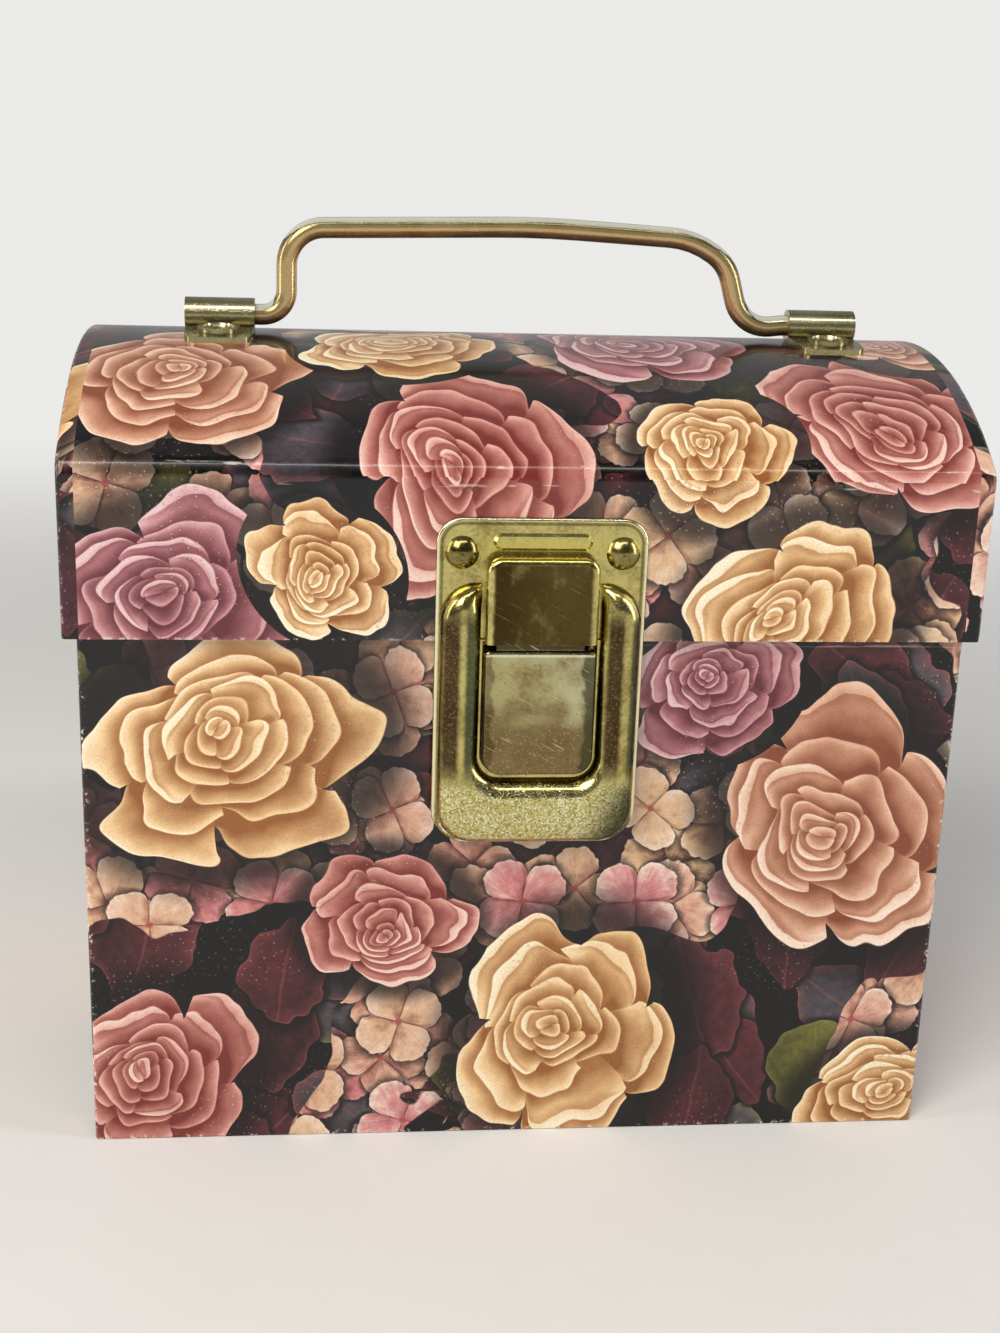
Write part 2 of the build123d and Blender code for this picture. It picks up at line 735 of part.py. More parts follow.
def hinge_leaf(middle, up, knuckles):
    """Hinge leaf centred at x = middle, above the pin if up is 1, with its knuckles."""
    with BuildPart() as leaf:
        far = up * leaf_height
        near = up * (knuckle_radius + leaf_relief)
        with BuildSketch(back_face) as outline:
            with Locations((-middle, (far + near) / 2)):
                Rectangle(hinge_width, abs(far - near))
            ends = outline.vertices().group_by(Axis.Y)
            fillet(ends[-1] if up > 0 else ends[0], leaf_corner)
            with Locations(*[(-middle + place, near / 2) for place in knuckles]):
                Rectangle(knuckle_length, abs(near))
        extrude(amount=leaf_sheet)
        for place in knuckles:
            with BuildSketch(Plane.YZ.offset(middle - place - knuckle_length / 2)):
                with Locations((hinge_y, hinge_z)):
                    Circle(knuckle_radius)
            extrude(amount=knuckle_length)
        with BuildSketch(Plane.YZ.offset(middle - hinge_width)):
            with Locations((hinge_y, hinge_z)):
                Circle(pin_radius + pin_room)
        extrude(amount=2 * hinge_width, mode=Mode.SUBTRACT)
        rivets = lid_hinge_rivets if up > 0 else body_hinge_rivets
        extrude(wall_slots(back_face, rivets), amount=wall, both=True, mode=Mode.SUBTRACT)
    return leaf.part


outer_knuckles = (-(knuckle_length + knuckle_gap), knuckle_length + knuckle_gap)
for side, word in ((-1, "left"), (1, "right")):
    middle = side * hinge_spacing / 2
    save(hinge_leaf(middle, -1, outer_knuckles), "hinge_body_leaf_" + word)
    save(hinge_leaf(middle, 1, (0,)), "hinge_lid_leaf_" + word)
    with BuildPart() as hinge_pin:
        pin_half = hinge_width / 2 + pin_stand
        with BuildSketch(Plane.YZ.offset(middle - pin_half)):
            with Locations((hinge_y, hinge_z)):
                Circle(pin_radius)
        extrude(amount=2 * pin_half)
        for end in (-1, 1):
            with BuildSketch(Plane.YZ.offset(middle + end * pin_half)):
                with Locations((hinge_y, hinge_z)):
                    Circle(pin_head)
            extrude(amount=end * pin_head_thick)
            cap = hinge_pin.faces().sort_by(Axis.X)[-1 if end > 0 else 0]
            chamfer(cap.edges(), pin_bevel)
    save(hinge_pin.part, "hinge_pin_" + word)

for points, name in ((body_hinge_rivets, "hinge_body_rivets"), (lid_hinge_rivets, "hinge_lid_rivets")):
    leaf_places = on_plane(back_face, points, leaf_sheet)
    save(split_rivets(small_head, leaf_sheet + wall, leaf_places), name)

# Handle: one bent wire, turning in two rolled brackets on the dome
knuckle_outer = wire_radius + wire_room + bracket_sheet
axis_z = crest_z + knuckle_outer
handle_plane = Plane(origin=(handle_shift, lid_mid_y, axis_z), x_dir=(1, 0, 0), z_dir=(0, -1, 0))

with BuildPart() as handle_bail:
    with BuildLine(handle_plane) as wire:
        FilletPolyline(
            (-wire_end, 0),
            bail_foot_left,
            bail_shoulder_left,
            bail_crown_left,
            (3.0, bail_height),
            bail_shoulder_right,
            bail_foot_right,
            (wire_end, 0),
            radius=bail_radii,
        )
    with BuildSketch(Plane(origin=wire.wire() @ 0, z_dir=wire.wire() % 0)):
        Circle(wire_radius)
    sweep(path=wire.wire())
save(handle_bail.part, "handle_bail")


def handle_bracket(side):
    """Strip rolled round the wire, with a flange that follows the dome to the front."""
    middle = handle_shift + side * bracket_spacing / 2
    with BuildPart() as bracket:
        with BuildSketch(Plane.XY.offset(dome_centre_z)) as flange:
            with Locations((middle, lid_mid_y - bracket_reach / 2)):
                lean = 90 - degrees(asin(bracket_taper / bracket_reach))
                Trapezoid(bracket_width, bracket_reach, lean, rotation=180)
            fillet(flange.vertices().group_by(Axis.Y)[0], bracket_corner)
        extrude(amount=dome_radius + reach)
        with BuildSketch(Plane.YZ.offset(middle - bracket_width)):
            with Locations((lid_mid_y, dome_centre_z)):
                Circle(dome_radius + bracket_sheet)
                Circle(dome_radius, mode=Mode.SUBTRACT)
        extrude(amount=2 * bracket_width, mode=Mode.INTERSECT)
        with BuildSketch(Plane.YZ.offset(middle - bracket_width / 2)):
            with Locations((lid_mid_y, axis_z)):
                Circle(knuckle_outer)
        extrude(amount=bracket_width)
        with BuildSketch(Plane.YZ.offset(middle - bracket_width)):
            with Locations((lid_mid_y, axis_z)):
                Circle(wire_radius + wire_room)
                seam_from = (Align.MIN, Align.CENTER)
                Rectangle(knuckle_outer, seam_width, rotation=180 + seam_angle, align=seam_from)
        extrude(amount=2 * bracket_width, mode=Mode.SUBTRACT)
        slot = wall_slots(bracket_plane(side), [(0, 0)])
        extrude(slot, amount=wall, both=True, mode=Mode.SUBTRACT)
    return bracket.part


for side, word in ((-1, "left"), (1, "right")):
    save(handle_bracket(side), "handle_bracket_" + word)

dished = dished_head(bracket_rivet_radius, bracket_rivet_rim, bracket_rivet_lip, bracket_rivet_dish)
flange_places = [plane.offset(bracket_sheet).location for plane in bracket_planes]
bracket_rivets = split_rivets(dished, bracket_sheet + wall + slot_room, flange_places)
save(bracket_rivets, "bracket_rivets")
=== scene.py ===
import math
import bpy
from mathutils import Matrix, Vector


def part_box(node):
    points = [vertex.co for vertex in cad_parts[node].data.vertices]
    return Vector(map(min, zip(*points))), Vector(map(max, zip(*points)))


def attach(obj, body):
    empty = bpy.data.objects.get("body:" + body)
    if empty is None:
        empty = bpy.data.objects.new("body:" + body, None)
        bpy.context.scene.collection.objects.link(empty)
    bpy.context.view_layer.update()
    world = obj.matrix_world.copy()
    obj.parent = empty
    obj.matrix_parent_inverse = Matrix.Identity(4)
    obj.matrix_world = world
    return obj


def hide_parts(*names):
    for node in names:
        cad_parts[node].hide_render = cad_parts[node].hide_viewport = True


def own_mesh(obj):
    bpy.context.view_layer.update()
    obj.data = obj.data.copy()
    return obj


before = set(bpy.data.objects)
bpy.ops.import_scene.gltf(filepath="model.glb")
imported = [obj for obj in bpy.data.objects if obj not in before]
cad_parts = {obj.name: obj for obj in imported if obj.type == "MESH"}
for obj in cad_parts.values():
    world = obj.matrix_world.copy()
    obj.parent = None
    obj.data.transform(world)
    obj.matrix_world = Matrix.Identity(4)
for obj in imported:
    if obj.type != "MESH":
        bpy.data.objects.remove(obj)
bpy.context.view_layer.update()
print("frame loaded,", len(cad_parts), "nodes")


# Node trees written as sums

class Signal:            # one output socket; sums on it add Math nodes
    def __init__(self, paint, socket):
        self.paint, self.socket = paint, socket

    def __add__(self, other):
        return self.paint.math("ADD", self, other)

    def __radd__(self, other):
        return self.paint.math("ADD", other, self)

    def __sub__(self, other):
        return self.paint.math("SUBTRACT", self, other)

    def __rsub__(self, other):
        return self.paint.math("SUBTRACT", other, self)

    def __mul__(self, other):
        return self.paint.math("MULTIPLY", self, other)

    def __rmul__(self, other):
        return self.paint.math("MULTIPLY", other, self)

    def __truediv__(self, other):
        return self.paint.math("DIVIDE", self, other)

    def __rtruediv__(self, other):
        return self.paint.math("DIVIDE", other, self)

    def __pow__(self, other):
        return self.paint.math("POWER", self, other)

    def __neg__(self):
        return self.paint.math("MULTIPLY", self, -1.0)

    def __abs__(self):
        return self.paint.math("ABSOLUTE", self)

    def __lt__(self, other):
        return self.paint.math("LESS_THAN", self, other)

    def __gt__(self, other):
        return self.paint.math("GREATER_THAN", self, other)


class Paint:             # a node tree, and the one method that adds its nodes
    def __init__(self, tree, owner=None):
        self.tree, self.owner = tree, owner
        tree.nodes.clear()

    def add(self, kind, settings, inputs, *outputs):
        node = self.tree.nodes.new("ShaderNode" + kind)
        for key, value in settings.items():
            if key == "stops":
                ramp = node.color_ramp
                while len(ramp.elements) < len(value):
                    ramp.elements.new(0.5)
                for element, (place, colour) in zip(ramp.elements, value):
                    element.position, element.color = place, (*colour, 1.0)
            elif key == "between":
                node.color_ramp.interpolation = value
            else:
                setattr(node, key, value)
        for key, value in inputs.items():
            socket = node.inputs[key]
            if isinstance(value, Signal):
                self.tree.links.new(value.socket, socket)
            elif isinstance(value, tuple) and socket.type == "RGBA":
                socket.default_value = (*value[:3], 1.0)
            else:
                socket.default_value = value
        found = [Signal(self, node.outputs[name]) for name in outputs or (0,)]
        return found[0] if len(found) == 1 else found

    def math(self, kind, *values):
        return self.add("Math", {"operation": kind}, dict(enumerate(values)))

    def vector(self, kind, *values):
        out = 1 if kind in ("DOT_PRODUCT", "LENGTH", "DISTANCE") else 0
        return self.add("VectorMath", {"operation": kind}, dict(enumerate(values)), out)

    def scaled(self, value, factor):
        return self.add("VectorMath", {"operation": "SCALE"}, {0: value, 3: factor})

    def mix(self, a, b, factor):
        return self.add("Mix", {"data_type": "RGBA", "clamp_factor": True},
                        {0: factor, 6: a, 7: b}, 2)

    def mixNumber(self, a, b, factor):
        return self.add("Mix", {"data_type": "FLOAT"}, {0: factor, 2: a, 3: b}, 0)

    def mixVector(self, a, b, factor):
        return self.add("Mix", {"data_type": "VECTOR"}, {0: factor, 4: a, 5: b}, 1)

    def smooth(self, low, high, value):
        return self.add("MapRange", {"interpolation_type": "SMOOTHSTEP"},
                        {"Value": value, "From Min": low, "From Max": high})

    def ramp(self, low, high, value):
        return self.add("MapRange", {}, {"Value": value, "From Min": low, "From Max": high})

    def join(self, x, y, z=0.0):
        return self.add("CombineXYZ", {}, {0: x, 1: y, 2: z})

    def split(self, value):
        return self.add("SeparateXYZ", {}, {0: value}, 0, 1, 2)

    def noise(self, at, scale, detail=2.0, rough=0.5, out="Fac"):
        return self.add("TexNoise", {"noise_dimensions": "3D"},
                        {"Vector": at, "Scale": scale, "Detail": detail, "Roughness": rough}, out)

    def cells(self, at, size, spread, *outputs):
        return self.add("TexVoronoi", {"voronoi_dimensions": "2D", "feature": "F1"},
                        {"Vector": at, "Scale": 1.0 / size, "Randomness": spread}, *outputs)

    def millimetres(self):
        return self.scaled(self.add("TexCoord", {}, {}, "Object"), 1000.0)

    def bump(self, height, strength, distance):
        return self.add("Bump", {},
                        {"Height": height, "Strength": strength, "Distance": distance})

    def finish(self, shader, kind="Material"):
        output = self.tree.nodes.new("ShaderNodeOutput" + kind)
        self.tree.links.new(shader.socket, output.inputs[0])
        return self.owner

    def surface(self, **sockets):    # a Principled shader on the material output
        named = {key.replace("_", " "): value for key, value in sockets.items()}
        return self.finish(self.add("BsdfPrincipled", {}, named))


def newPaint(name):
    material = bpy.data.materials.new(name)
    material.use_nodes = True
    return Paint(material.node_tree, material)


def shared(name, inputs, build, outputs):    # a group built once; the result adds one node for it
    tree = bpy.data.node_groups.new(name, "ShaderNodeTree")

    def sockets(words, way):
        pairs = [word.split(":") for word in words.split()]
        for key, kind in pairs:
            tree.interface.new_socket(key, in_out=way, socket_type="NodeSocket" + kind)
        return [key for key, kind in pairs]

    keys = sockets(inputs, "INPUT")
    paint = Paint(tree)
    start = tree.nodes.new("NodeGroupInput")
    results = build(paint, *[Signal(paint, start.outputs[key]) for key in keys])
    results = results if isinstance(results, tuple) else (results,)
    found = sockets(outputs, "OUTPUT")
    end = tree.nodes.new("NodeGroupOutput")
    for result, socket in zip(results, end.inputs):
        tree.links.new(result.socket, socket)

    def use(paint, *values):
        return paint.add("Group", {"node_tree": tree}, dict(zip(keys, values)), *found)
    return use


def shown(red, green, blue):         # a colour as the screen shows it, made linear
    return tuple((c / 255.0) ** 2.2 for c in (red, green, blue))


# Camera, floor and light

cameraView = {
    "place": (-0.0366, -0.3468, 0.18375),
    "pitch": 16.98, "yaw": 5.99, "roll": -1.87,
    "lens": 48.6, "sensor": 36.0, "clip": (0.01, 50.0),
}


def makeCamera():
    pitch, yaw, roll = (math.radians(cameraView[k]) for k in ("pitch", "yaw", "roll"))
    level = math.cos(pitch)
    forward = Vector((math.sin(yaw) * level, math.cos(yaw) * level, -math.sin(pitch)))
    across = Vector((math.cos(yaw), -math.sin(yaw), 0.0))
    down = forward.cross(across)
    right = across * math.cos(roll) + down * math.sin(roll)
    up = across * math.sin(roll) - down * math.cos(roll)
    turn = Matrix((right, up, -forward)).transposed()
    data = bpy.data.cameras.new("view")
    data.lens, data.sensor_width = cameraView["lens"], cameraView["sensor"]
    data.clip_start, data.clip_end = cameraView["clip"]
    camera = bpy.data.objects.new("view", data)
    bpy.context.scene.collection.objects.link(camera)
    camera.matrix_world = Matrix.Translation(cameraView["place"]) @ turn.to_4x4()
    bpy.context.scene.camera = camera


studio = {
    "floor": (0.78, 0.77, 0.755), "floorRadius": 8.0, "mottle": 0.97,
    "floorFades": (0.25, 0.75),              # metres from the middle
    "background": (0.83, 0.825, 0.815),
    "roomBehind": 0.50, "roomAhead": 0.13, "roomTurns": (-0.5, 0.6),
    "aim": (0.0, 0.0, 0.09),
    "lamps": {                               # place, width, height, watts, colour
        "key": ((-0.50, -0.72, 0.80), 0.55, 0.55, 9.0, (1.0, 0.965, 0.91)),
        "left strip": ((-0.85, -0.20, 0.35), 0.14, 0.80, 2.2, (1.0, 0.97, 0.92)),
        "right strip": ((0.85, -0.30, 0.35), 0.16, 0.80, 3.2, (0.94, 0.97, 1.0)),
        "crease": ((0.10, -0.62, 1.00), 0.70, 0.10, 2.0, (1.0, 0.98, 0.95)),
    },
}


def areaLight(name, place, width, height, watts, colour):
    data = bpy.data.lights.new(name, "AREA")
    data.shape, data.size, data.size_y, data.energy = "RECTANGLE", width, height, watts
    data.color = colour
    lamp = bpy.data.objects.new(name, data)
    bpy.context.scene.collection.objects.link(lamp)
    lamp.location = place
    aim = Vector(studio["aim"]) - lamp.location
    lamp.rotation_euler = aim.to_track_quat("-Z", "Y").to_euler()


def makeStage():
    bpy.ops.object.select_all(action="DESELECT")
    bpy.ops.mesh.primitive_circle_add(vertices=96, radius=studio["floorRadius"], fill_type="NGON",
                                      location=(0, 0, 0))
    floor = bpy.context.object
    floor.name = "floor"
    paint = newPaint("pale floor")
    at = paint.add("TexCoord", {}, {}, "Object")
    away = paint.smooth(*studio["floorFades"], paint.vector("LENGTH", at))
    darker = tuple(c * studio["mottle"] for c in studio["floor"])
    tint = paint.mix(studio["floor"], darker, paint.noise(at, 60.0, 3.0))
    near = paint.add("BsdfPrincipled", {},
                     {"Base Color": tint, "Roughness": 0.85, "Specular IOR Level": 0.2})
    far = paint.add("Emission", {}, {"Color": studio["background"], "Strength": 1.0})
    floor.data.materials.append(paint.finish(
        paint.add("MixShader", {}, {0: away, 1: near, 2: far})))

    world = bpy.data.worlds.new("studio")
    bpy.context.scene.world = world
    world.use_nodes = True
    paint = Paint(world.node_tree)
    ray = paint.add("LightPath", {}, {}, "Is Camera Ray")
    direction = paint.add("TexCoord", {}, {}, "Generated")
    behind = paint.smooth(*studio["roomTurns"], paint.split(direction)[1])
    level = paint.mixNumber(studio["roomAhead"], studio["roomBehind"], behind)
    paint.finish(paint.add("Background", {}, {
        "Color": studio["background"], "Strength": paint.mixNumber(level, 1.0, ray)}), "World")
    for name, facts in studio["lamps"].items():
        areaLight(name, *facts)


makeCamera()
makeStage()
bpy.context.scene.view_settings.view_transform = "Standard"
print("camera, floor and light are set")


# The printed paper
# Colours here are as the screen shows them; one Gamma node at the end makes them linear.

flowers = {
    "darkest": (0.022, 0.012, 0.018),
    "deep": [(0.58, 0.36, 0.19), (0.46, 0.19, 0.17), (0.38, 0.17, 0.20), (0.52, 0.28, 0.19)],
    "middle": [(0.94, 0.78, 0.57), (0.81, 0.55, 0.50), (0.73, 0.49, 0.50), (0.86, 0.65, 0.53)],
    "light": [(0.99, 0.94, 0.82), (0.96, 0.82, 0.77), (0.91, 0.77, 0.77), (0.98, 0.88, 0.80)],
    # cell size, radius, spread, turn, shift across, shift up, and for blossoms their brightness
    "leafLayers": [
        (31.0, 0.40, 0.35, 0.0, 3.0, 11.0), (27.0, 0.42, 0.25, 0.5, 71.0, 35.0),
        (33.0, 0.41, 0.30, 1.1, 133.0, 87.0), (29.0, 0.38, 0.30, 2.0, 17.0, 151.0)],
    "blossomLayers": [
        (23.0, 0.44, 0.20, 0.30, 9.0, 4.0, 0.16), (21.0, 0.44, 0.20, 1.2, 58.0, 77.0, 0.25),
        (24.0, 0.43, 0.22, 0.8, 141.0, 12.0, 0.33), (22.0, 0.42, 0.20, 0.0, 91.0, 133.0, 0.42)],
    "clusterEdge": 0.488,                    # higher leaves fewer blossoms
    "roseShadow": (1.28, 0.94, 0.72), "roseReach": 1.12,
}
cream, salmon, mauve, peach = 0, 1, 2, 3

# each rose: across and up in mm, radius in mm, turn in radians, squeeze, seed, colour
bodyRoses = [
    (-52, 76, 29, 0.3, 0.80, 0.11, cream), (10, 20, 26, 1.3, 0.86, 0.35, cream),
    (58, 62, 28, 2.2, 0.80, 0.62, peach), (-67, 12, 22, 0.9, 0.84, 0.55, salmon),
    (72, 4, 19, 0.2, 0.82, 0.23, cream), (-24, 44, 17, 2.9, 0.84, 0.79, salmon),
    (33, 88, 16, 0.4, 0.86, 0.13, mauve),
    (114, 62, 28, 0.7, 0.82, 0.71, cream), (152, 22, 24, 1.9, 0.86, 0.44, salmon),
    (196, 68, 29, 0.5, 0.80, 0.19, peach), (234, 24, 25, 2.6, 0.86, 0.87, cream),
    (276, 66, 27, 1.1, 0.82, 0.31, mauve), (308, 18, 21, 0.1, 0.86, 0.66, cream),
    (-118, 62, 28, 1.7, 0.82, 0.93, mauve), (-150, 20, 23, 0.6, 0.86, 0.08, cream),
]
lidRoses = [
    (-62, -78, 24, 0.4, 0.84, 0.17, mauve), (-12, -52, 27, 1.6, 0.80, 0.52, salmon),
    (46, -80, 23, 0.8, 0.84, 0.83, cream), (64, -38, 26, 2.4, 0.80, 0.27, salmon),
    (-60, -28, 26, 0.9, 0.82, 0.61, peach), (24, -8, 24, 2.0, 0.84, 0.39, mauve),
    (31, -47, 17, 1.1, 0.86, 0.69, cream), (-36, -70, 14, 2.3, 0.86, 0.41, cream),
    (-22, -12, 19, 0.3, 0.84, 0.97, cream), (72, -2, 20, 1.8, 0.84, 0.21, peach),
    (-26, 24, 27, 0.2, 0.82, 0.74, peach), (-66, 54, 24, 1.2, 0.84, 0.05, cream),
    (2, 74, 25, 0.6, 0.82, 0.91, salmon), (60, 34, 27, 1.5, 0.82, 0.46, cream),
]
endRoses = [
    (-20, 112, 25, 0.5, 0.84, 0.33, salmon), (30, 120, 22, 1.4, 0.86, 0.72, cream),
]


def cellPlace(paint, at, size, spread):    # the place in a jittered cell, turned by chance
    middle, chance = paint.cells(at, size, spread, "Position", "Color")
    x, y = paint.split(paint.scaled(paint.vector("SUBTRACT", at, middle), 1.0 / size))[:2]
    first, second, third = paint.split(chance)
    turn = first * (2.0 * math.pi)
    c, s = paint.math("COSINE", turn), paint.math("SINE", turn)
    return x * c + y * s, y * c - x * s, first, second, third


leaf = {                                     # the dark and the light end of each colour
    "plum": ((0.045, 0.02, 0.035), (0.46, 0.21, 0.24)),
    "green": ((0.05, 0.055, 0.03), (0.52, 0.50, 0.28)), "greenAbove": 0.70,
    "lime": ((0.09, 0.10, 0.03), (0.68, 0.66, 0.28)), "limeAbove": 0.86,
    "grey": ((0.05, 0.045, 0.065), (0.46, 0.42, 0.44)), "greyAbove": 0.80,
    "plumVein": (0.62, 0.34, 0.33), "greenVein": (0.56, 0.52, 0.33),
    "squeeze": 0.74, "waver": 0.6, "tip": 0.35, "veins": (11.7, 9.9),
    "brightness": 0.13, "shadow": (1.20, 0.98, 0.75),
}


def leafLayer(paint, ground, at, size, radius, spread):
    x, y, first, second, third = cellPlace(paint, at, size, spread)
    x, y = x / radius, y / (radius * leaf["squeeze"])
    wave = (paint.noise(at, 0.16, 1.0) - 0.5) * leaf["waver"]
    pointed = abs(y) * leaf["tip"] * paint.smooth(-0.2, 1.0, x)
    d = paint.vector("LENGTH", paint.join(x, y)) + wave + pointed
    cover = paint.smooth(1.0, 0.98, d)
    rib = paint.smooth(0.05, 0.0, abs(y + wave * 0.3))
    along, aside = leaf["veins"]
    side = paint.smooth(0.20, 0.0, abs(paint.math("SINE", x * along + abs(y) * aside)))
    fine = paint.noise(at, 0.55, 3.0, 0.6)
    shade = leaf["brightness"] + 0.32 * (y * 0.5 + 0.5) + first * 0.10 - d * 0.14
    shade = shade + 0.55 * fine * (1.0 - side * 0.3)
    isGreen = second > leaf["greenAbove"]
    green = paint.mix(paint.mix(*leaf["green"], shade), paint.mix(*leaf["lime"], shade),
                      second > leaf["limeAbove"])
    tint = paint.mix(paint.mix(*leaf["plum"], shade), green, isGreen)
    tint = paint.mix(tint, paint.mix(*leaf["grey"], shade), third > leaf["greyAbove"])
    vein = paint.mix(leaf["plumVein"], leaf["greenVein"], isGreen)
    tint = paint.mix(tint, vein, rib * 0.36 + side * 0.20)
    tint = paint.mix(tint, vein, paint.smooth(0.72, 1.0, d) * (0.05 + 0.40 * third))
    tint = paint.mix(tint, vein, paint.smooth(0.95, 0.995, d) * (0.05 + 0.70 * third))
    outer, inner, depth = leaf["shadow"]
    ground = paint.mix(ground, flowers["darkest"], paint.smooth(outer, inner, d) * depth)
    return paint.mix(ground, tint, cover)


blossom = {
    "shade": (0.40, 0.21, 0.19), "light": (0.96, 0.87, 0.80),
    "warm": ((0.84, 0.61, 0.54), (0.85, 0.70, 0.53)),
    "pink": (0.80, 0.50, 0.50), "pinkAbove": 0.80,
    "heart": (0.66, 0.32, 0.31), "heartSize": (0.11, 0.04),
    "shownAbove": 0.10, "shadow": (1.22, 0.97, 0.58),
}


def blossomLayer(paint, ground, at, size, radius, spread, lift, cluster):
    x, y, first, second, third = cellPlace(paint, at, size, spread)
    x, y = x / radius, y / (radius * (0.80 + 0.20 * second))
    r = paint.vector("LENGTH", paint.join(x, y))
    f = paint.math("FRACT", paint.math("ARCTAN2", y, x) * (2.0 / math.pi) + 4.0)   # four petals
    wave = paint.noise(at, 0.5, 1.0) - 0.5
    bulge = paint.math("SINE", f * math.pi) ** 0.40
    d = r / (0.46 + 0.52 * bulge + wave * 0.18)
    here = cluster * (third > blossom["shownAbove"])
    cover = paint.smooth(1.0, 0.97, d) * here
    streak = paint.noise(paint.join(f * 7.0 + second * 40.0, r * 1.2, first * 9.0), 2.2, 1.0)
    shade = lift + 0.36 * d + 0.34 * (f - 0.5) * (1.0 - 0.5 * d) + (streak - 0.5) * 0.34
    shade = shade - paint.smooth(0.16, 0.0, f) * 0.36 - paint.smooth(0.90, 1.0, f) * 0.10
    shade = shade + paint.smooth(0.90, 0.985, d) * 0.12 + wave * 0.6 + (third - 0.5) * 0.14
    warm = paint.mix(*blossom["warm"], first)
    warm = paint.mix(warm, blossom["pink"], second > blossom["pinkAbove"])
    tint = paint.mix(blossom["shade"], warm, paint.ramp(0.0, 0.55, shade))
    tint = paint.mix(tint, blossom["light"], paint.smooth(0.50, 1.08, shade))
    tint = paint.mix(tint, blossom["heart"], paint.smooth(*blossom["heartSize"], r))
    outer, inner, depth = blossom["shadow"]
    ground = paint.mix(ground, flowers["darkest"], paint.smooth(outer, inner, d) * here * depth)
    return paint.mix(ground, tint, cover)


rose = {
    "rings": [(1.00, 5, 0.20), (0.77, 5, 0.17), (0.57, 4, 0.15), (0.42, 4, 0.15),
              (0.29, 3, 0.17), (0.19, 3, 0.18), (0.105, 2, 0.20)],       # radius, petals, notch
    "drift": 0.46, "lift": 0.20,
    "depth": 0.64, "petalVariety": 0.14, "mottle": 0.50,
    "curl": 0.10, "rim": (0.02, 0.14), "lip": (0.05, 0.13),              # least, and more if lit
    "underLip": 0.22, "overlap": 0.34, "shadow": 0.42, "grain": 0.16,
}


def petalRing(paint, x, y, radius, inner, petals, notch, turn, seed, glow, before):
    cy = y - rose["lift"] * (1.0 - radius)
    r = paint.vector("LENGTH", paint.join(x, cy))
    angle = paint.math("ARCTAN2", cy, x)
    g = angle * petals * (0.5 / math.pi) + seed * petals + turn + 8.0
    f = paint.math("FRACT", g)
    own = paint.math("WRAP", paint.math("FLOOR", g), 0.0, petals)
    chance = paint.add("TexWhiteNoise", {"noise_dimensions": "2D"},
                       {"Vector": paint.join(own + seed * 51.0, radius * 37.0)}, "Value")
    hollow = abs(f * 2.0 - 1.0) ** 2.6
    edge = (0.95 - hollow * notch + (f - 0.5) * 0.09) * radius * (0.93 + 0.14 * chance)
    t = paint.ramp(0.0, 1.0, (r - (inner - 0.02)) / (edge - (inner - 0.02)))
    inside = paint.smooth(0.007, -0.007, r - edge)
    lit = 0.5 - 0.5 * paint.math("COSINE", angle + 0.8)       # the side that faces the light
    body = rose["depth"] * t ** 0.85 + rose["petalVariety"] * (chance - 0.5)
    body = body + rose["mottle"] * (glow - 0.5)
    curl = paint.smooth(0.70, 0.96, t) * rose["curl"]
    rim = paint.smooth(0.93, 0.99, t) * (rose["rim"][0] + rose["rim"][1] * lit)
    middle = paint.math("SINE", f * math.pi)                  # a lip is widest at its middle
    fold = 1.0 - middle * paint.smooth(0.35, 0.75, chance) * (0.16 + 0.30 * glow)
    lip = paint.smooth(0.0, 0.02, t - fold) * middle
    under = paint.smooth(-0.22, 0.0, t - fold) * (t < fold) * paint.smooth(0.4, 0.7, chance)
    body = body - under * rose["underLip"] + lip * (rose["lip"][0] + rose["lip"][1] * lit)
    lap = paint.smooth(0.30, 0.0, f) * rose["overlap"] * (1.0 - t * 0.45)
    lap = lap - paint.smooth(0.7, 1.0, f) * 0.10
    near = paint.smooth(0.10, 0.0, r - edge) * rose["shadow"]
    return paint.mixNumber(before * (1.0 - near), body + curl + rim - lap, inside), inside


layerInputs = "Ground:Color At:Vector Size:Float Radius:Float Spread:Float"
leafOn = shared("leaf layer", layerInputs, leafLayer, "Ground:Color")
blossomOn = shared("blossom layer", layerInputs + " Lift:Float Cluster:Float", blossomLayer,
                   "Ground:Color")
ringOn = shared("petal ring",
                "X:Float Y:Float Radius:Float Inner:Float Petals:Float Notch:Float Turn:Float "
                "Seed:Float Glow:Float Before:Float",
                petalRing, "Shade:Float Inside:Float")


def roseShade(paint, place, seed):
    drift = paint.noise(paint.vector("ADD", place, paint.join(seed * 31.0, 3.0, seed * 17.0)),
                        1.6, 1.5, 0.55, "Color")
    push = paint.vector("MULTIPLY", paint.vector("SUBTRACT", drift, (0.5, 0.5, 0.5)),
                        (rose["drift"], rose["drift"], 0.0))
    x, y = paint.split(paint.vector("ADD", place, push))[:2]
    glow = paint.noise(paint.vector("ADD", place, paint.join(seed * 9.0, seed, 5.0)),
                       2.4, 3.0, 0.6)
    rings = rose["rings"]
    cover, shade = None, 0.0
    for k, (radius, petals, notch) in enumerate(rings):
        inner = rings[k + 1][0] * 0.90 if k + 1 < len(rings) else 0.0
        turn = k * 2.4 * petals / (2.0 * math.pi)
        shade, inside = ringOn(paint, x, y, radius, inner, float(petals), notch, turn, seed,
                               glow, shade)
        cover = inside if cover is None else cover
    px, py = paint.split(place)[:2]
    shade = shade * (0.98 - 0.08 * px + 0.13 * py)           # the light comes from above
    return shade + (paint.noise(place, 9.0, 2.0) - 0.5) * rose["grain"], cover


roseOn = shared("rose", "Place:Vector Seed:Float", roseShade, "Shade:Float Cover:Float")


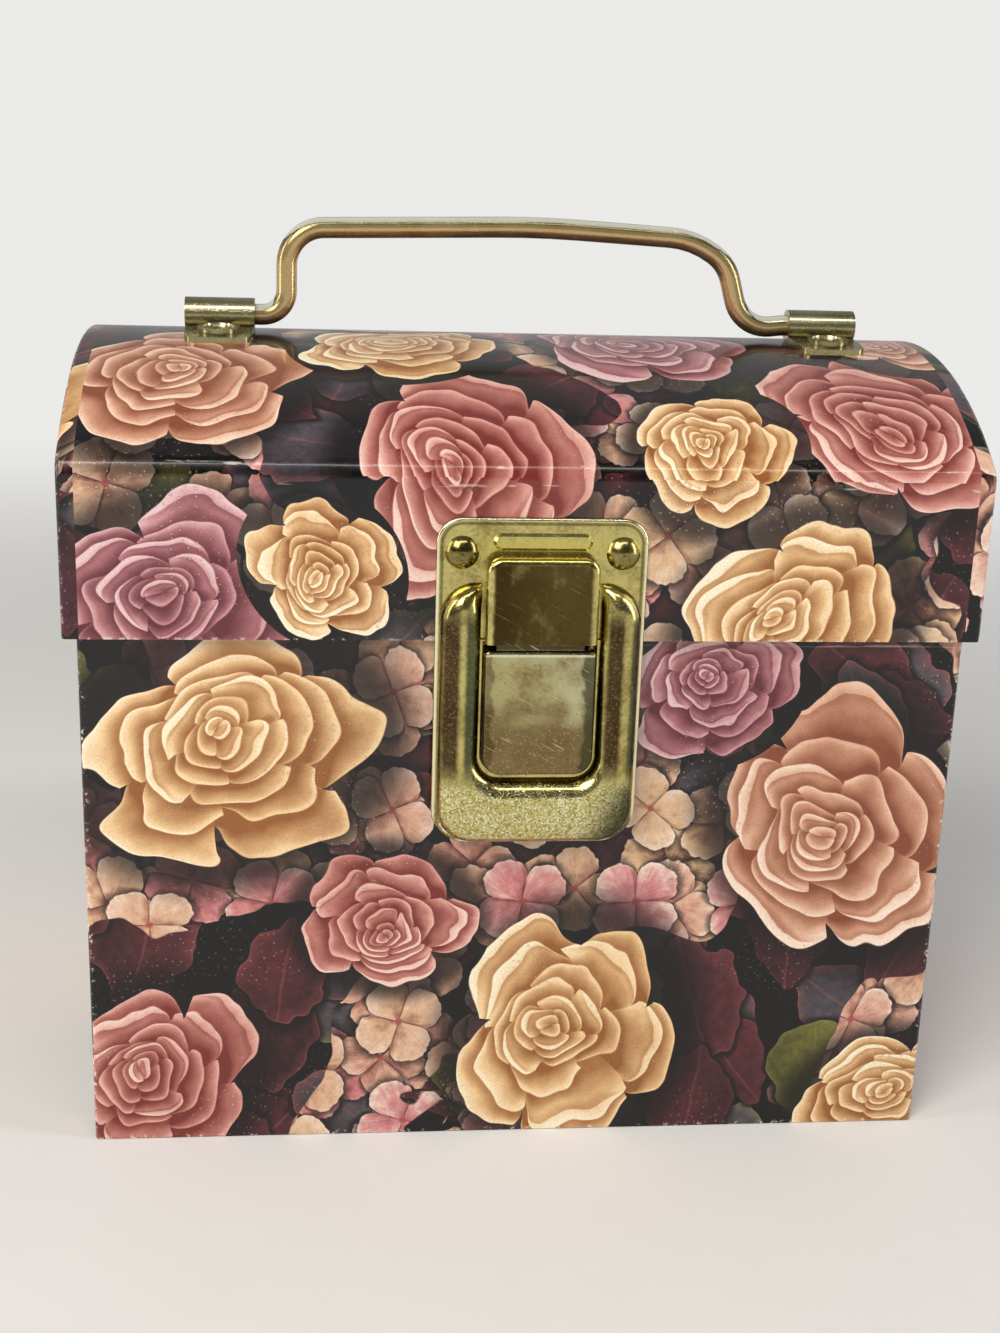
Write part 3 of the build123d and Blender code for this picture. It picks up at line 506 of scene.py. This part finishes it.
def pick(paint, name, index):
    stops = [(k / 4.0, colour) for k, colour in enumerate(flowers[name])]
    return paint.add("ValToRGB", {"stops": stops, "between": "CONSTANT"}, {0: index}, 0)


def turned(paint, one, angle, x, y):     # the sheet turned and shifted, for a layer of its own
    c, s = math.cos(angle), math.sin(angle)
    return paint.join(paint.vector("DOT_PRODUCT", one, (c, s, x)),
                      paint.vector("DOT_PRODUCT", one, (-s, c, y)))


def printedFlowers(paint, across, up, roses):
    at = paint.join(across, up, 0.0)
    one = paint.join(across, up, 1.0)
    ground = flowers["darkest"]
    for size, radius, spread, angle, x, y in flowers["leafLayers"]:
        ground = leafOn(paint, ground, turned(paint, one, angle, x, y), size, radius, spread)
    field = paint.noise(paint.vector("ADD", at, (17.0, 5.0, 40.0)), 0.021, 1.0)
    edge = flowers["clusterEdge"]
    ragged = (paint.noise(at, 0.10, 1.0) - 0.5) * 0.14
    cluster = paint.smooth(edge, edge + 0.004, field + ragged)
    for size, radius, spread, angle, x, y, lift in flowers["blossomLayers"]:
        ground = blossomOn(paint, ground, turned(paint, one, angle, x, y), size, radius, spread,
                           lift, cluster)
    place = facts = nearest = None
    for x, y, radius, turn, squeeze, seed, colour in roses:
        c, s = math.cos(turn) / radius, math.sin(turn) / radius
        px = paint.vector("DOT_PRODUCT", one, (c, s, -x * c - y * s))
        py = paint.vector("DOT_PRODUCT", one,
                          (-s / squeeze, c / squeeze, (x * s - y * c) / squeeze))
        local = paint.join(px, py, 0.0)
        away = paint.vector("LENGTH", local)
        key = (seed, (colour + 0.5) / 4.0, 0.0)
        if place is None:
            place, nearest, facts = local, away, key
        else:
            mine = away < flowers["roseReach"]
            place = paint.mixVector(place, local, mine)
            facts = paint.mixVector(facts, key, mine)
            nearest = paint.math("MINIMUM", nearest, away)
    seed, index = paint.split(facts)[:2]
    shade, cover = roseOn(paint, place, seed)
    tint = paint.mix(pick(paint, "deep", index), pick(paint, "middle", index),
                     paint.ramp(0.0, 0.55, shade))
    tint = paint.mix(tint, pick(paint, "light", index), paint.smooth(0.44, 0.96, shade))
    outer, inner, depth = flowers["roseShadow"]
    ground = paint.mix(ground, flowers["darkest"], paint.smooth(outer, inner, nearest) * depth)
    return at, paint.mix(ground, tint, cover)


dew = {                                      # distances are shares of a cell
    "cell": 1.5, "spread": 0.9, "wet": (0.50, 0.62), "share": 0.75,
    "drop": (0.24, 0.10), "tint": (1.0, 0.95, 0.90), "glint": (0.22, 0.75),
    "halo": (0.34, 0.20), "haloTint": (0.20, 0.08, 0.06), "haloDepth": 0.30,
}


def dewDrops(paint, at, picture):
    distance, chance = paint.cells(at, dew["cell"], dew["spread"], "Distance", "Color")
    first, second = paint.split(chance)[:2]
    here = (second < dew["share"]) * paint.smooth(*dew["wet"], paint.noise(at, 0.045, 2.0))
    away = distance * (1.2 + first)
    drop = paint.smooth(*dew["drop"], away) * here
    halo = paint.smooth(*dew["halo"], away) * here
    picture = paint.mix(picture, dew["haloTint"], halo * dew["haloDepth"])
    under = paint.add("RGBToBW", {}, {0: picture})
    least, more = dew["glint"]
    return paint.mix(picture, dew["tint"], drop * (least + more * under)), halo


paper = {
    "roughness": 0.24, "specular": 0.34, "coat": 0.30, "coatRoughness": 0.06,
    "bare": (0.90, 0.86, 0.80), "screenGamma": 2.2, "waviness": 0.0008,
}


def printedPaper(paint, across, up, roses, paleMarks):
    at, picture = printedFlowers(paint, across, up, roses)
    picture, drops = dewDrops(paint, at, picture)
    grain = paint.noise(at, 2.4, 2.0, 0.7)
    picture = paint.mix(picture, (0.0, 0.0, 0.0), (grain - 0.45) * 0.35)
    # paleMarks bares the paper where it is worn, and on the case also along a painted highlight
    # line
    picture = paint.mix(picture, paper["bare"], paleMarks)
    colour = paint.add("Gamma", {}, {"Color": picture, "Gamma": paper["screenGamma"]}, 0)
    where = paint.millimetres()
    waves = paint.noise(where, 0.035, 1.0) + paint.noise(where, 0.30, 2.0) * 0.06
    height = waves + paint.noise(where, 3.0, 1.0) * 0.004 + drops * 0.004
    rough = paper["roughness"] + (paint.noise(where, 0.4, 4.0, 0.7) - 0.5) * 0.22 + paleMarks * 0.4
    return paint.surface(
        Base_Color=colour, Roughness=rough, Specular_IOR_Level=paper["specular"],
        Coat_Weight=paper["coat"], Coat_Roughness=paper["coatRoughness"],
        Normal=paint.bump(height, 1.0, paper["waviness"]))


def speckle(paint, where, scale, low, high):
    return paint.smooth(low, high, paint.noise(where, scale, 3.0, 0.65))


def band(paint, value, low, high, soft):                 # 1 between two places, soft at both
    rise = paint.smooth(low - soft, low + soft, value)
    return rise * paint.smooth(high + soft, high - soft, value)


def stretched(paint, where, x, y, z):                    # a small number draws it out that way
    return paint.vector("MULTIPLY", where, (x, y, z))


rubsAndGlare = {                                     # begins and is full at, in mm from the edge
    "corner": (1.6, 0.2), "foot": (1.2, 0.0), "rim": (0.9, 0.1), "hem": (0.6, 0.1),
    "crease": (0.40, 0.15), "secondCrease": (0.35, 0.12), "secondDrop": 3.1,
    "lidLine": (95.7, 96.1),                 # heights of a painted highlight line on the case, where the lid's edge comes down
    "creaseDepth": 0.75, "secondDepth": 0.7, "glareLineDepth": 0.6, "hemDepth": 0.7, "rimDepth": 0.8,
}


def bodyPaper():
    paint = newPaint("printed paper, case")
    low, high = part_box("body_wrap")
    halfWide, halfDeep, tall = high.x * 1000.0, high.y * 1000.0, high.z * 1000.0
    where = paint.millimetres()
    x, y, z = paint.split(where)
    inX, inY = halfWide - abs(x), halfDeep - abs(y)       # how far inside the walls
    back = 2.0 * halfDeep + 2.0 * halfWide - x            # the print goes round the case once
    right = halfWide + halfDeep + y
    left = -halfWide - halfDeep - y
    wide = paint.mixNumber(back, x, y < 0.0)
    deep = paint.mixNumber(left, right, x > 0.0)
    across = paint.mixNumber(deep, wide, inX > inY)
    inset = paint.math("MINIMUM", inX, inY)
    up = z + paint.mixNumber(inset, -inset, z < tall * 0.5)
    corner = paint.smooth(*rubsAndGlare["corner"], paint.math("MAXIMUM", inX, inY))
    foot = paint.smooth(*rubsAndGlare["foot"], z)
    broken = speckle(paint, stretched(paint, where, 0.06, 0.06, 1.0), 0.9, 0.50, 0.58)
    # painted highlight: a pale broken line on the case just under the lid's edge, joined to the
    # corner and foot wear
    paintedHighlightLine = band(paint, z, *rubsAndGlare["lidLine"], 0.2) * broken * rubsAndGlare["glareLineDepth"]
    paleMarks = paint.math("MAXIMUM", corner, foot) * speckle(paint, where, 0.9, 0.56, 0.64)
    return printedPaper(paint, across, up, bodyRoses, paint.math("MAXIMUM", paleMarks, paintedHighlightLine))


lidShape = {"crease": 127.3, "centre": 62.8, "radius": 81.0, "middle": -1.1}    # as the CAD's


def lidPaper():
    paint = newPaint("printed paper, lid")
    low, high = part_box("lid_wrap")
    where = paint.millimetres()
    x, y, z = paint.split(where)
    offset = y - lidShape["middle"]
    halfDeep = (high.y - low.y) * 500.0
    halfArc = lidShape["radius"] * math.asin(halfDeep / lidShape["radius"])
    arc = paint.math("ARCTAN2", offset, z - lidShape["centre"]) * lidShape["radius"]
    upright = (halfArc + lidShape["crease"] - z) * paint.math("SIGN", offset)
    along = paint.mixNumber(upright, arc, z > lidShape["crease"] - 1.5)
    above = z - (lidShape["crease"] + 0.5 * paint.noise(where, 0.05, 2.0))
    first = paint.smooth(*rubsAndGlare["crease"], abs(above))
    second = paint.smooth(*rubsAndGlare["secondCrease"], abs(above + rubsAndGlare["secondDrop"]))
    broken = speckle(paint, stretched(paint, where, 0.10, 0.5, 0.5), 0.9, 0.56, 0.62)
    crease = (first + second * rubsAndGlare["secondDepth"]) * broken * (offset < 0.0)
    hem = paint.smooth(*rubsAndGlare["hem"], z - low.z * 1000.0) * speckle(paint, where, 0.5, 0.5, 0.6)
    paleMarks = paint.math("MAXIMUM", crease * rubsAndGlare["creaseDepth"], hem * rubsAndGlare["hemDepth"])
    return printedPaper(paint, x, along, lidRoses, paleMarks)


def endPaper():
    paint = newPaint("printed paper, lid ends")
    low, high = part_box("lid_right_sheet")
    where = paint.millimetres()
    x, y, z = paint.split(where)
    over = high.x * 1000.0 - abs(x)                       # how far it is turned over
    across = (y + over * paint.math("SIGN", y)) * paint.math("SIGN", x)
    offset = y - lidShape["middle"]
    toWall = (high.y - low.y) * 500.0 - abs(offset)
    above = z - lidShape["centre"]
    toCrown = lidShape["radius"] - paint.vector("LENGTH", paint.join(offset, above))
    rim = paint.math("MAXIMUM", paint.math("MINIMUM", toWall, toCrown), over)
    paleMarks = paint.smooth(*rubsAndGlare["rim"], rim) * speckle(paint, where, 0.8, 0.54, 0.62)
    return printedPaper(paint, across, z, endRoses, paleMarks * rubsAndGlare["rimDepth"])


# Plain papers and board

lining = {
    "fibre": shown(226, 205, 188), "between": shown(240, 224, 208),
    "cloud": shown(204, 170, 152), "fleck": shown(178, 140, 120),
}


def liningPaper():
    paint = newPaint("lining paper")
    where = paint.millimetres()
    fibre = paint.noise(stretched(paint, where, 1.0, 1.0, 0.35), 1.6, 4.0, 0.7)
    cloud = paint.noise(where, 0.04, 2.0)
    fleck = speckle(paint, where, 2.6, 0.66, 0.72)
    tint = paint.mix(lining["fibre"], lining["between"], fibre)
    tint = paint.mix(tint, lining["cloud"], paint.smooth(0.45, 0.7, cloud) * 0.35)
    tint = paint.mix(tint, lining["fleck"], fleck * 0.35)
    height = fibre * 0.06 + paint.noise(where, 0.12, 2.0) * 0.6
    return paint.surface(Base_Color=tint, Roughness=0.62 + fibre * 0.2, Specular_IOR_Level=0.35,
                         Normal=paint.bump(height, 0.6, 0.0006))


base = {"dark": shown(52, 34, 36), "light": shown(74, 52, 52), "scuff": shown(120, 100, 94)}


def basePaper():
    paint = newPaint("base paper")
    where = paint.millimetres()
    fibre = paint.noise(where, 2.2, 4.0, 0.7)
    scuff = speckle(paint, stretched(paint, where, 1.0, 0.25, 1.0), 0.35, 0.56, 0.68)
    tint = paint.mix(base["dark"], base["light"], fibre)
    tint = paint.mix(tint, base["scuff"], scuff * 0.4)
    return paint.surface(Base_Color=tint, Roughness=0.55 + fibre * 0.25,
                         Normal=paint.bump(fibre, 0.5, 0.0001))


board = {"dark": shown(150, 138, 122), "light": shown(186, 174, 156), "fleck": shown(96, 84, 72)}


def boardMaterial():
    paint = newPaint("grey board")
    where = paint.millimetres()
    fibre = paint.noise(where, 1.8, 5.0, 0.75)
    fleck = speckle(paint, where, 3.2, 0.62, 0.70)
    tint = paint.mix(board["dark"], board["light"], fibre)
    tint = paint.mix(tint, board["fleck"], fleck * 0.6)
    return paint.surface(Base_Color=tint, Roughness=0.85, Normal=paint.bump(fibre, 0.6, 0.0002))


# Metals

metal = {
    "cover": {"metallic": 1.0, "bright": shown(204, 190, 120), "deep": shown(140, 124, 70),
              "sparkle": 0.25, "scratch": 0.15},
    "rivets": {"metallic": 1.0, "bright": shown(156, 144, 88), "deep": shown(98, 86, 48),
               "sparkle": 0.15, "scratch": 0.2},
    "plate": {"metallic": 1.0, "bright": shown(180, 170, 120), "deep": shown(130, 110, 70),
              "sparkle": 0.1, "scratch": 0.45},
    "wire": {"metallic": 0.6, "bright": shown(214, 206, 166), "deep": shown(150, 138, 92),
             "sparkle": 0.12, "scratch": 0.2},
    "bracket": {"metallic": 0.85, "bright": shown(222, 214, 172), "deep": shown(150, 138, 92),
                "sparkle": 0.5, "scratch": 0.3},
    "hidden": {"metallic": 1.0, "bright": shown(206, 188, 122), "deep": shown(150, 128, 70),
               "sparkle": 0.3, "scratch": 0.3},
    "tarnish": shown(62, 48, 28), "glint": shown(248, 244, 210), "shade": shown(58, 46, 26),
    "roughness": 0.19, "pitting": 0.00005,
}


def brassMaterial(name, kind, stain=None):
    look = metal[kind]
    paint = newPaint(name)
    where = paint.millimetres()
    cloud = paint.noise(where, 0.16, 3.0, 0.6)
    fine = paint.noise(where, 1.6, 3.0, 0.65)
    spots = speckle(paint, where, 1.1, 0.62, 0.70)
    bright = paint.smooth(0.30, 0.62, cloud * 0.6 + fine * 0.4)
    tint = paint.mix(look["deep"], look["bright"], bright)
    tint = paint.mix(tint, metal["tarnish"], spots * 0.40)
    pits = paint.noise(where, 2.6, 2.0, 0.6)
    crystals = paint.add("TexVoronoi", {"voronoi_dimensions": "3D", "feature": "F1"},
                         {"Vector": where, "Scale": 3.4, "Randomness": 1.0}, "Color")
    first, second = paint.split(crystals)[:2]
    grain = first * look["sparkle"]
    # stain paints light, shade and reflections into the tint and the sparkle
    if stain:
        tint, grain = stain(paint, where, tint, grain, second)
    leaning = paint.add("VectorRotate", {"rotation_type": "Y_AXIS"},
                        {"Vector": where, "Angle": -0.5}, 0)
    lines = paint.noise(stretched(paint, leaning, 0.16, 4.0, 6.0), 1.0, 1.0, 0.5)
    cut = paint.smooth(0.70, 0.74, lines) * look["scratch"]
    tint = paint.mix(tint, metal["glint"], cut)
    height = pits * 0.30 + grain * 0.6 - cut * 0.3
    rough = metal["roughness"] + (cloud - 0.5) * 0.18 + spots * 0.25 + cut * 0.15
    return paint.surface(Base_Color=tint, Metallic=look["metallic"], Roughness=rough,
                         Normal=paint.bump(height, 0.5, metal["pitting"]))


def fromEdge(paint, x, z, halfWide, halfTall, corner):    # how far inside a rounded oblong
    qx = abs(x) - (halfWide - corner)
    qz = abs(z) - (halfTall - corner)
    outside = paint.vector("LENGTH", paint.join(paint.math("MAXIMUM", qx, 0.0),
                                                paint.math("MAXIMUM", qz, 0.0)))
    inside = paint.math("MINIMUM", paint.math("MAXIMUM", qx, qz), 0.0)
    return corner - outside - inside


def ownPlace(paint, where, box):         # across from the middle, height; half width, foot, top
    low, high = box
    x, y, z = paint.split(where)
    across = x - (low.x + high.x) * 500.0
    return across, z, (high.x - low.x) * 500.0, low.z * 1000.0, high.z * 1000.0


cover = {                                # millimetres in from the cover's own edges
    "corner": 4.5, "rim": (0.15, 0.55), "rimShade": (0.75, 1.25),
    # painted reflections: dark plum and teal bands down the side bars
    "plumReflectionLeft": (1.4, 4.2), "plumReflectionRight": (4.0, 6.7),
    "tealReflectionLeft": (5.3, 7.2), "tealReflectionRight": (1.0, 2.5),
    "barsBelowTop": (13.0, 19.0), "barsAboveFoot": (10.5, 16.5),
    "highlightBelowTop": (7.2, 3.4), "highlightAcross": (13.0, 8.0), "sheenAboveFoot": (14.0, 10.0),
    "hood": (9.7, 8.5, 1.5),             # half width, half height, corner; its height comes next
    "hoodMiddle": 104.7,
    # colours of the painted reflections, highlights, sparkle and shade on the cover
    "plum": shown(56, 38, 30), "teal": shown(36, 62, 48), "fleck": shown(150, 128, 92),
    "glow": shown(212, 198, 104), "polish": shown(206, 196, 126), "speck": shown(96, 82, 42),
    "shadedCorner": shown(40, 46, 32), "hoodDarkReflection": shown(74, 58, 32), "hoodPaleReflection": shown(140, 124, 76),
}


def coverPaintedLight(paint, where, tint, grain, chance):
    x, z, half, foot, top = ownPlace(paint, where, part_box("latch_cover"))
    inset = fromEdge(paint, x, z - (foot + top) * 0.5, half, (top - foot) * 0.5, cover["corner"])
    wobble = (paint.noise(where, 0.7, 2.0) - 0.5) * 0.5
    start, full = cover["barsBelowTop"]
    tall = paint.smooth(top - start, top - full, z)
    start, full = cover["barsAboveFoot"]
    tall = tall * paint.smooth(foot + start, foot + full, z)

    def reflectionBands(left, right, soft):
        return paint.math("MAXIMUM", band(paint, half + x + wobble, *cover[left], soft),
                          band(paint, half - x + wobble, *cover[right], soft)) * tall

    # painted reflections on the side bars: plum and teal bands, with bright sparkle flecks in them
    plum, teal = reflectionBands("plumReflectionLeft", "plumReflectionRight", 0.5), reflectionBands("tealReflectionLeft", "tealReflectionRight", 0.4)
    tint = paint.mix(tint, cover["plum"], plum * 0.92)
    tint = paint.mix(tint, cover["teal"], teal * 0.85)
    tint = paint.mix(tint, cover["fleck"], (plum + teal) * paint.smooth(0.80, 0.88, chance) * 0.32)
    # painted highlight: a bright yellow band along the bead above the hood
    lower, upper = cover["highlightBelowTop"]
    glow = band(paint, z, top - lower, top - upper, 0.7)
    glow = glow * paint.smooth(*cover["highlightAcross"], abs(x))
    tint = paint.mix(tint, cover["glow"], glow * 0.55)
    # painted sheen on the bottom bar, which faces up, with painted glints and dark specks in it
    start, full = cover["sheenAboveFoot"]
    polish = paint.smooth(foot + start, foot + full, z) * paint.smooth(0.5, 1.6, inset)
    dark = polish * paint.smooth(4.0, 13.0, x - (z - foot) * 0.5)        # painted shade at the bottom bar's right corner
    tint = paint.mix(tint, cover["polish"], polish * 0.7)
    tint = paint.mix(tint, metal["glint"], polish * paint.smooth(0.66, 0.84, chance) * 0.70)
    tint = paint.mix(tint, cover["speck"], polish * paint.smooth(0.34, 0.16, chance) * 0.55)
    tint = paint.mix(tint, cover["shadedCorner"], dark * 0.9)
    # painted reflections on the hood's face: dark, with pale patches, and painted shade darker
    # towards the left
    within = fromEdge(paint, x, z - cover["hoodMiddle"], *cover["hood"])
    hood = paint.smooth(0.9, 1.7, within + wobble)
    pale = speckle(paint, stretched(paint, where, 1.0, 1.0, 0.6), 0.22, 0.52, 0.74)
    tint = paint.mix(tint, cover["hoodDarkReflection"], hood * 0.93)
    tint = paint.mix(tint, metal["shade"], hood * paint.smooth(1.0, -8.0, x) * 0.7)
    tint = paint.mix(tint, cover["hoodPaleReflection"], hood * pale * 0.7)
    # painted highlight along the cover's rim, and painted shade just inside it
    tint = paint.mix(tint, metal["glint"], band(paint, inset, *cover["rim"], 0.12) * 0.8)
    tint = paint.mix(tint, metal["tarnish"], band(paint, inset, *cover["rimShade"], 0.15) * 0.6)
    return tint, grain * (1.0 + polish * 4.0)


plate = {
    "top": 96.3,                         # the tongue above it lies in the hood's shade
    "topGlint": (1.0, 0.5), "shadedRightSide": (2.4, 1.6), "shadedLeftSide": (1.8, 1.2),
    # brown is the plate's lower tone; pale and side are painted reflection and painted shade
    "brown": shown(112, 88, 58), "pale": shown(196, 196, 158), "side": shown(66, 66, 44),
}


def plateToneAndPaintedLight(paint, where, tint, grain, chance):
    x, z, half, foot, top = ownPlace(paint, where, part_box("push_plate"))
    patch = paint.noise(where, 0.16, 2.0, 0.5) - 0.5
    pits = paint.noise(where, 4.0, 1.0) - 0.5
    rise = paint.ramp(foot, top, z)
    x = x + (paint.noise(where, 0.30, 2.0) - 0.5) * 3.0
    brown = paint.smooth(0.62, 0.30, rise + patch * 0.6)
    tint = paint.mix(tint, plate["brown"], brown * 0.75)
    # painted reflection: a pale patch towards the top right
    pale = paint.smooth(0.55, 0.95, rise + x * 0.03 + patch)
    tint = paint.mix(tint, plate["pale"], pale * 0.65)
    # painted glints in the brown lower part
    paintedGlints = paint.smooth(0.90, 0.96, chance + pits * 0.4)
    tint = paint.mix(tint, metal["glint"], brown * paintedGlints * 0.16)
    # painted shade down the right and the left side
    start, full = plate["shadedRightSide"]
    tint = paint.mix(tint, plate["side"], paint.smooth(half - start, half - full, x) * 0.8)
    start, full = plate["shadedLeftSide"]
    tint = paint.mix(tint, metal["tarnish"], paint.smooth(start - half, full - half, x) * 0.5)
    # painted highlight along the top edge
    lower, upper = plate["topGlint"]
    paintedHighlightLine = band(paint, z, plate["top"] - lower, plate["top"] - upper, 0.15)
    tint = paint.mix(tint, metal["glint"], paintedHighlightLine * 0.6)
    shade = paint.smooth(plate["top"], plate["top"] + 0.15, z)
    return paint.mix(tint, metal["shade"], shade * 0.9), grain


# painted light and shade: each colour stands at a lean from 0, facing down, to 1, facing up
wireLightByLean = [
    (0.0, shown(60, 46, 30)), (0.24, shown(92, 72, 42)), (0.40, shown(188, 152, 106)),
    (0.62, shown(170, 150, 96)), (0.70, shown(104, 92, 56)), (0.755, shown(60, 52, 34)),
    (0.80, shown(246, 244, 226)), (0.95, shown(244, 243, 226)), (1.0, shown(206, 204, 180))]
knuckleLightByLean = [
    (0.0, shown(84, 76, 48)), (0.40, shown(128, 118, 76)), (0.58, shown(150, 138, 90)),
    (0.69, shown(236, 230, 190)), (0.78, shown(214, 206, 160)), (0.88, shown(104, 98, 70)),
    (1.0, shown(112, 108, 84))]


def byLean(stops, depth):        # the painted light and shade follow the way that the surface leans
    def stain(paint, where, tint, grain, chance):
        upward = paint.split(paint.add("TexCoord", {}, {}, "Normal"))[2]
        streak = paint.noise(stretched(paint, where, 0.08, 1.0, 1.0), 1.2, 2.0) - 0.5
        shade = paint.add("ValToRGB", {"stops": stops, "between": "EASE"},
                          {0: upward * 0.5 + 0.5 + streak * 0.10}, 0)
        return paint.mix(tint, shade, depth), grain
    return stain


steel = {"dark": shown(150, 152, 156), "light": shown(198, 198, 198), "stain": shown(96, 84, 76)}


def steelMaterial():
    paint = newPaint("spring steel")
    where = paint.millimetres()
    grain = paint.noise(stretched(paint, where, 0.3, 1.0, 6.0), 1.5, 3.0, 0.6)
    stain = speckle(paint, where, 0.8, 0.58, 0.70)
    tint = paint.mix(steel["dark"], steel["light"], grain)
    tint = paint.mix(tint, steel["stain"], stain * 0.5)
    return paint.surface(Base_Color=tint, Metallic=1.0, Roughness=0.28 + stain * 0.25,
                         Normal=paint.bump(grain, 0.3, 0.00004))


# Pieces that stand for a node of the frame

bail = {
    "middle": (0.0022, -0.0011, 0.14681),       # on the turning axis, halfway along
    "radius": 0.00195, "sides": 32, "end": 0.0615, "endBevel": 0.0004,
    "corners": [                                # along, up, bend radius
        (-0.0451, 0.0, 0.0045), (-0.0450, 0.0160, 0.0070), (0.0020, 0.0173, 0.2000),
        (0.0318, 0.0158, 0.0170), (0.0385, 0.0113, 0.0085), (0.0420, -0.0009, 0.0068),
        (0.0500, 0.0, 0.0080)],
    "stepAngle": 7.5, "leastSteps": 3, "smoothBelow": 40.0,
}
weldWithin, sameWithin = 1e-6, 1e-5             # metres


def selectAt(piece, test):                      # edit mode: only the vertices that pass the test
    bpy.ops.mesh.select_all(action="DESELECT")
    bpy.ops.object.mode_set(mode="OBJECT")
    for vertex in piece.data.vertices:
        vertex.select = test(vertex.co)
    bpy.ops.object.mode_set(mode="EDIT")


def pushOn(step):                               # the open end goes on in the plane of the wire
    bpy.ops.mesh.extrude_edges_move(TRANSFORM_OT_translate={"value": (step.x, 0.0, step.y)})


def bentWire():
    x0, y0, z0 = bail["middle"]
    bpy.ops.object.select_all(action="DESELECT")
    bpy.ops.mesh.primitive_circle_add(
        vertices=bail["sides"], radius=bail["radius"], fill_type="NOTHING",
        location=(x0 - bail["end"], y0, z0), rotation=(0.0, math.pi / 2.0, 0.0))
    piece = bpy.context.object
    piece.name = "handle_wire"
    bpy.ops.object.transform_apply(location=True, rotation=True, scale=True)
    bpy.ops.object.mode_set(mode="EDIT")
    bpy.ops.mesh.select_all(action="SELECT")
    at = Vector((-bail["end"], 0.0))
    places = [Vector(corner[:2]) for corner in bail["corners"]] + [Vector((bail["end"], 0.0))]
    for here, beyond, (along, up, radius) in zip(places, places[1:], bail["corners"]):
        before, after = (here - at).normalized(), (beyond - here).normalized()
        turn = math.atan2(before.x * after.y - before.y * after.x, before.dot(after))
        reach = radius * math.tan(abs(turn) / 2.0)
        start = here - before * reach
        pushOn(start - at)
        side = math.copysign(1.0, turn)
        centre = start + Vector((-before.y, before.x)) * radius * side
        steps = max(bail["leastSteps"], round(math.degrees(abs(turn)) / bail["stepAngle"]))
        bpy.ops.mesh.spin(steps=steps, angle=abs(turn), axis=(0.0, side, 0.0),
                          center=(x0 + centre.x, y0, z0 + centre.y))
        at = here + after * reach
    pushOn(places[-1] - at)
    for end in (x0 - bail["end"], x0 + bail["end"]):
        selectAt(piece, lambda place: abs(place.x - end) < sameWithin)
        bpy.ops.mesh.edge_face_add()
        bpy.ops.mesh.bevel(offset=bail["endBevel"], segments=2)
    bpy.ops.mesh.select_all(action="SELECT")
    bpy.ops.mesh.remove_doubles(threshold=weldWithin)
    bpy.ops.mesh.normals_make_consistent(inside=False)
    bpy.ops.object.mode_set(mode="OBJECT")
    bpy.ops.object.shade_smooth_by_angle(angle=math.radians(bail["smoothBelow"]))
    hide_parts("handle_bail")
    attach(piece, "handle")
    return piece


spring = {                                      # the latch's leaf spring; the real one flattens towards its riveted leg when pressed
    "seat": (0.0, -0.0485, 0.0), "pressed": 0.08, "smoothBelow": 30.0,
}


def leafSpring():
    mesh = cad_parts["catch_spring"].data.copy()
    piece = bpy.data.objects.new("latch_leaf_spring", mesh)
    bpy.context.scene.collection.objects.link(piece)
    bpy.ops.object.select_all(action="DESELECT")
    piece.select_set(True)
    bpy.context.view_layer.objects.active = piece
    bpy.ops.object.mode_set(mode="EDIT")
    bpy.ops.mesh.select_all(action="SELECT")
    bpy.ops.mesh.remove_doubles(threshold=weldWithin)
    bpy.ops.object.mode_set(mode="OBJECT")
    bpy.ops.object.shade_smooth_by_angle(angle=math.radians(spring["smoothBelow"]))
    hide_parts("catch_spring")
    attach(piece, "case")
    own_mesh(piece)
    return piece


def finishPiece(piece, material):
    piece.data.materials.clear()
    piece.data.materials.append(material)


def give(material, *names):
    for name in names:
        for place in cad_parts[name].material_slots:
            place.material = material


give(bodyPaper(), "body_wrap")
give(lidPaper(), "lid_wrap")
give(endPaper(), "lid_left_sheet", "lid_right_sheet")
give(liningPaper(), "body_lining", "lid_lining")
give(basePaper(), "base_sheet")
give(boardMaterial(), "base_board", "lid_top_board",
     *[part + side + "_board" for part in ("body_", "lid_")
       for side in ("front", "back", "left", "right")])
print("papers are painted")

give(brassMaterial("pressed brass", "cover", coverPaintedLight), "latch_cover")
give(brassMaterial("rivet brass", "rivets"), "latch_cover_rivets")
give(brassMaterial("rubbed brass", "plate", plateToneAndPaintedLight), "push_plate")
finishPiece(bentWire(), brassMaterial("wire brass", "wire", byLean(wireLightByLean, 0.85)))
give(brassMaterial("bracket brass", "bracket", byLean(knuckleLightByLean, 0.75)),
     "handle_bracket_left", "handle_bracket_right", "bracket_rivets")
give(brassMaterial("plain brass", "hidden"), "catch_plate", "catch_plate_rivets",
     "hinge_body_leaf_left", "hinge_body_leaf_right", "hinge_body_rivets", "hinge_lid_leaf_left",
     "hinge_lid_leaf_right", "hinge_lid_rivets")
springSteel = steelMaterial()
give(springSteel, "pivot_pin", "hinge_pin_left", "hinge_pin_right")
finishPiece(leafSpring(), springSteel)
print("metals are painted, wire and spring are in")
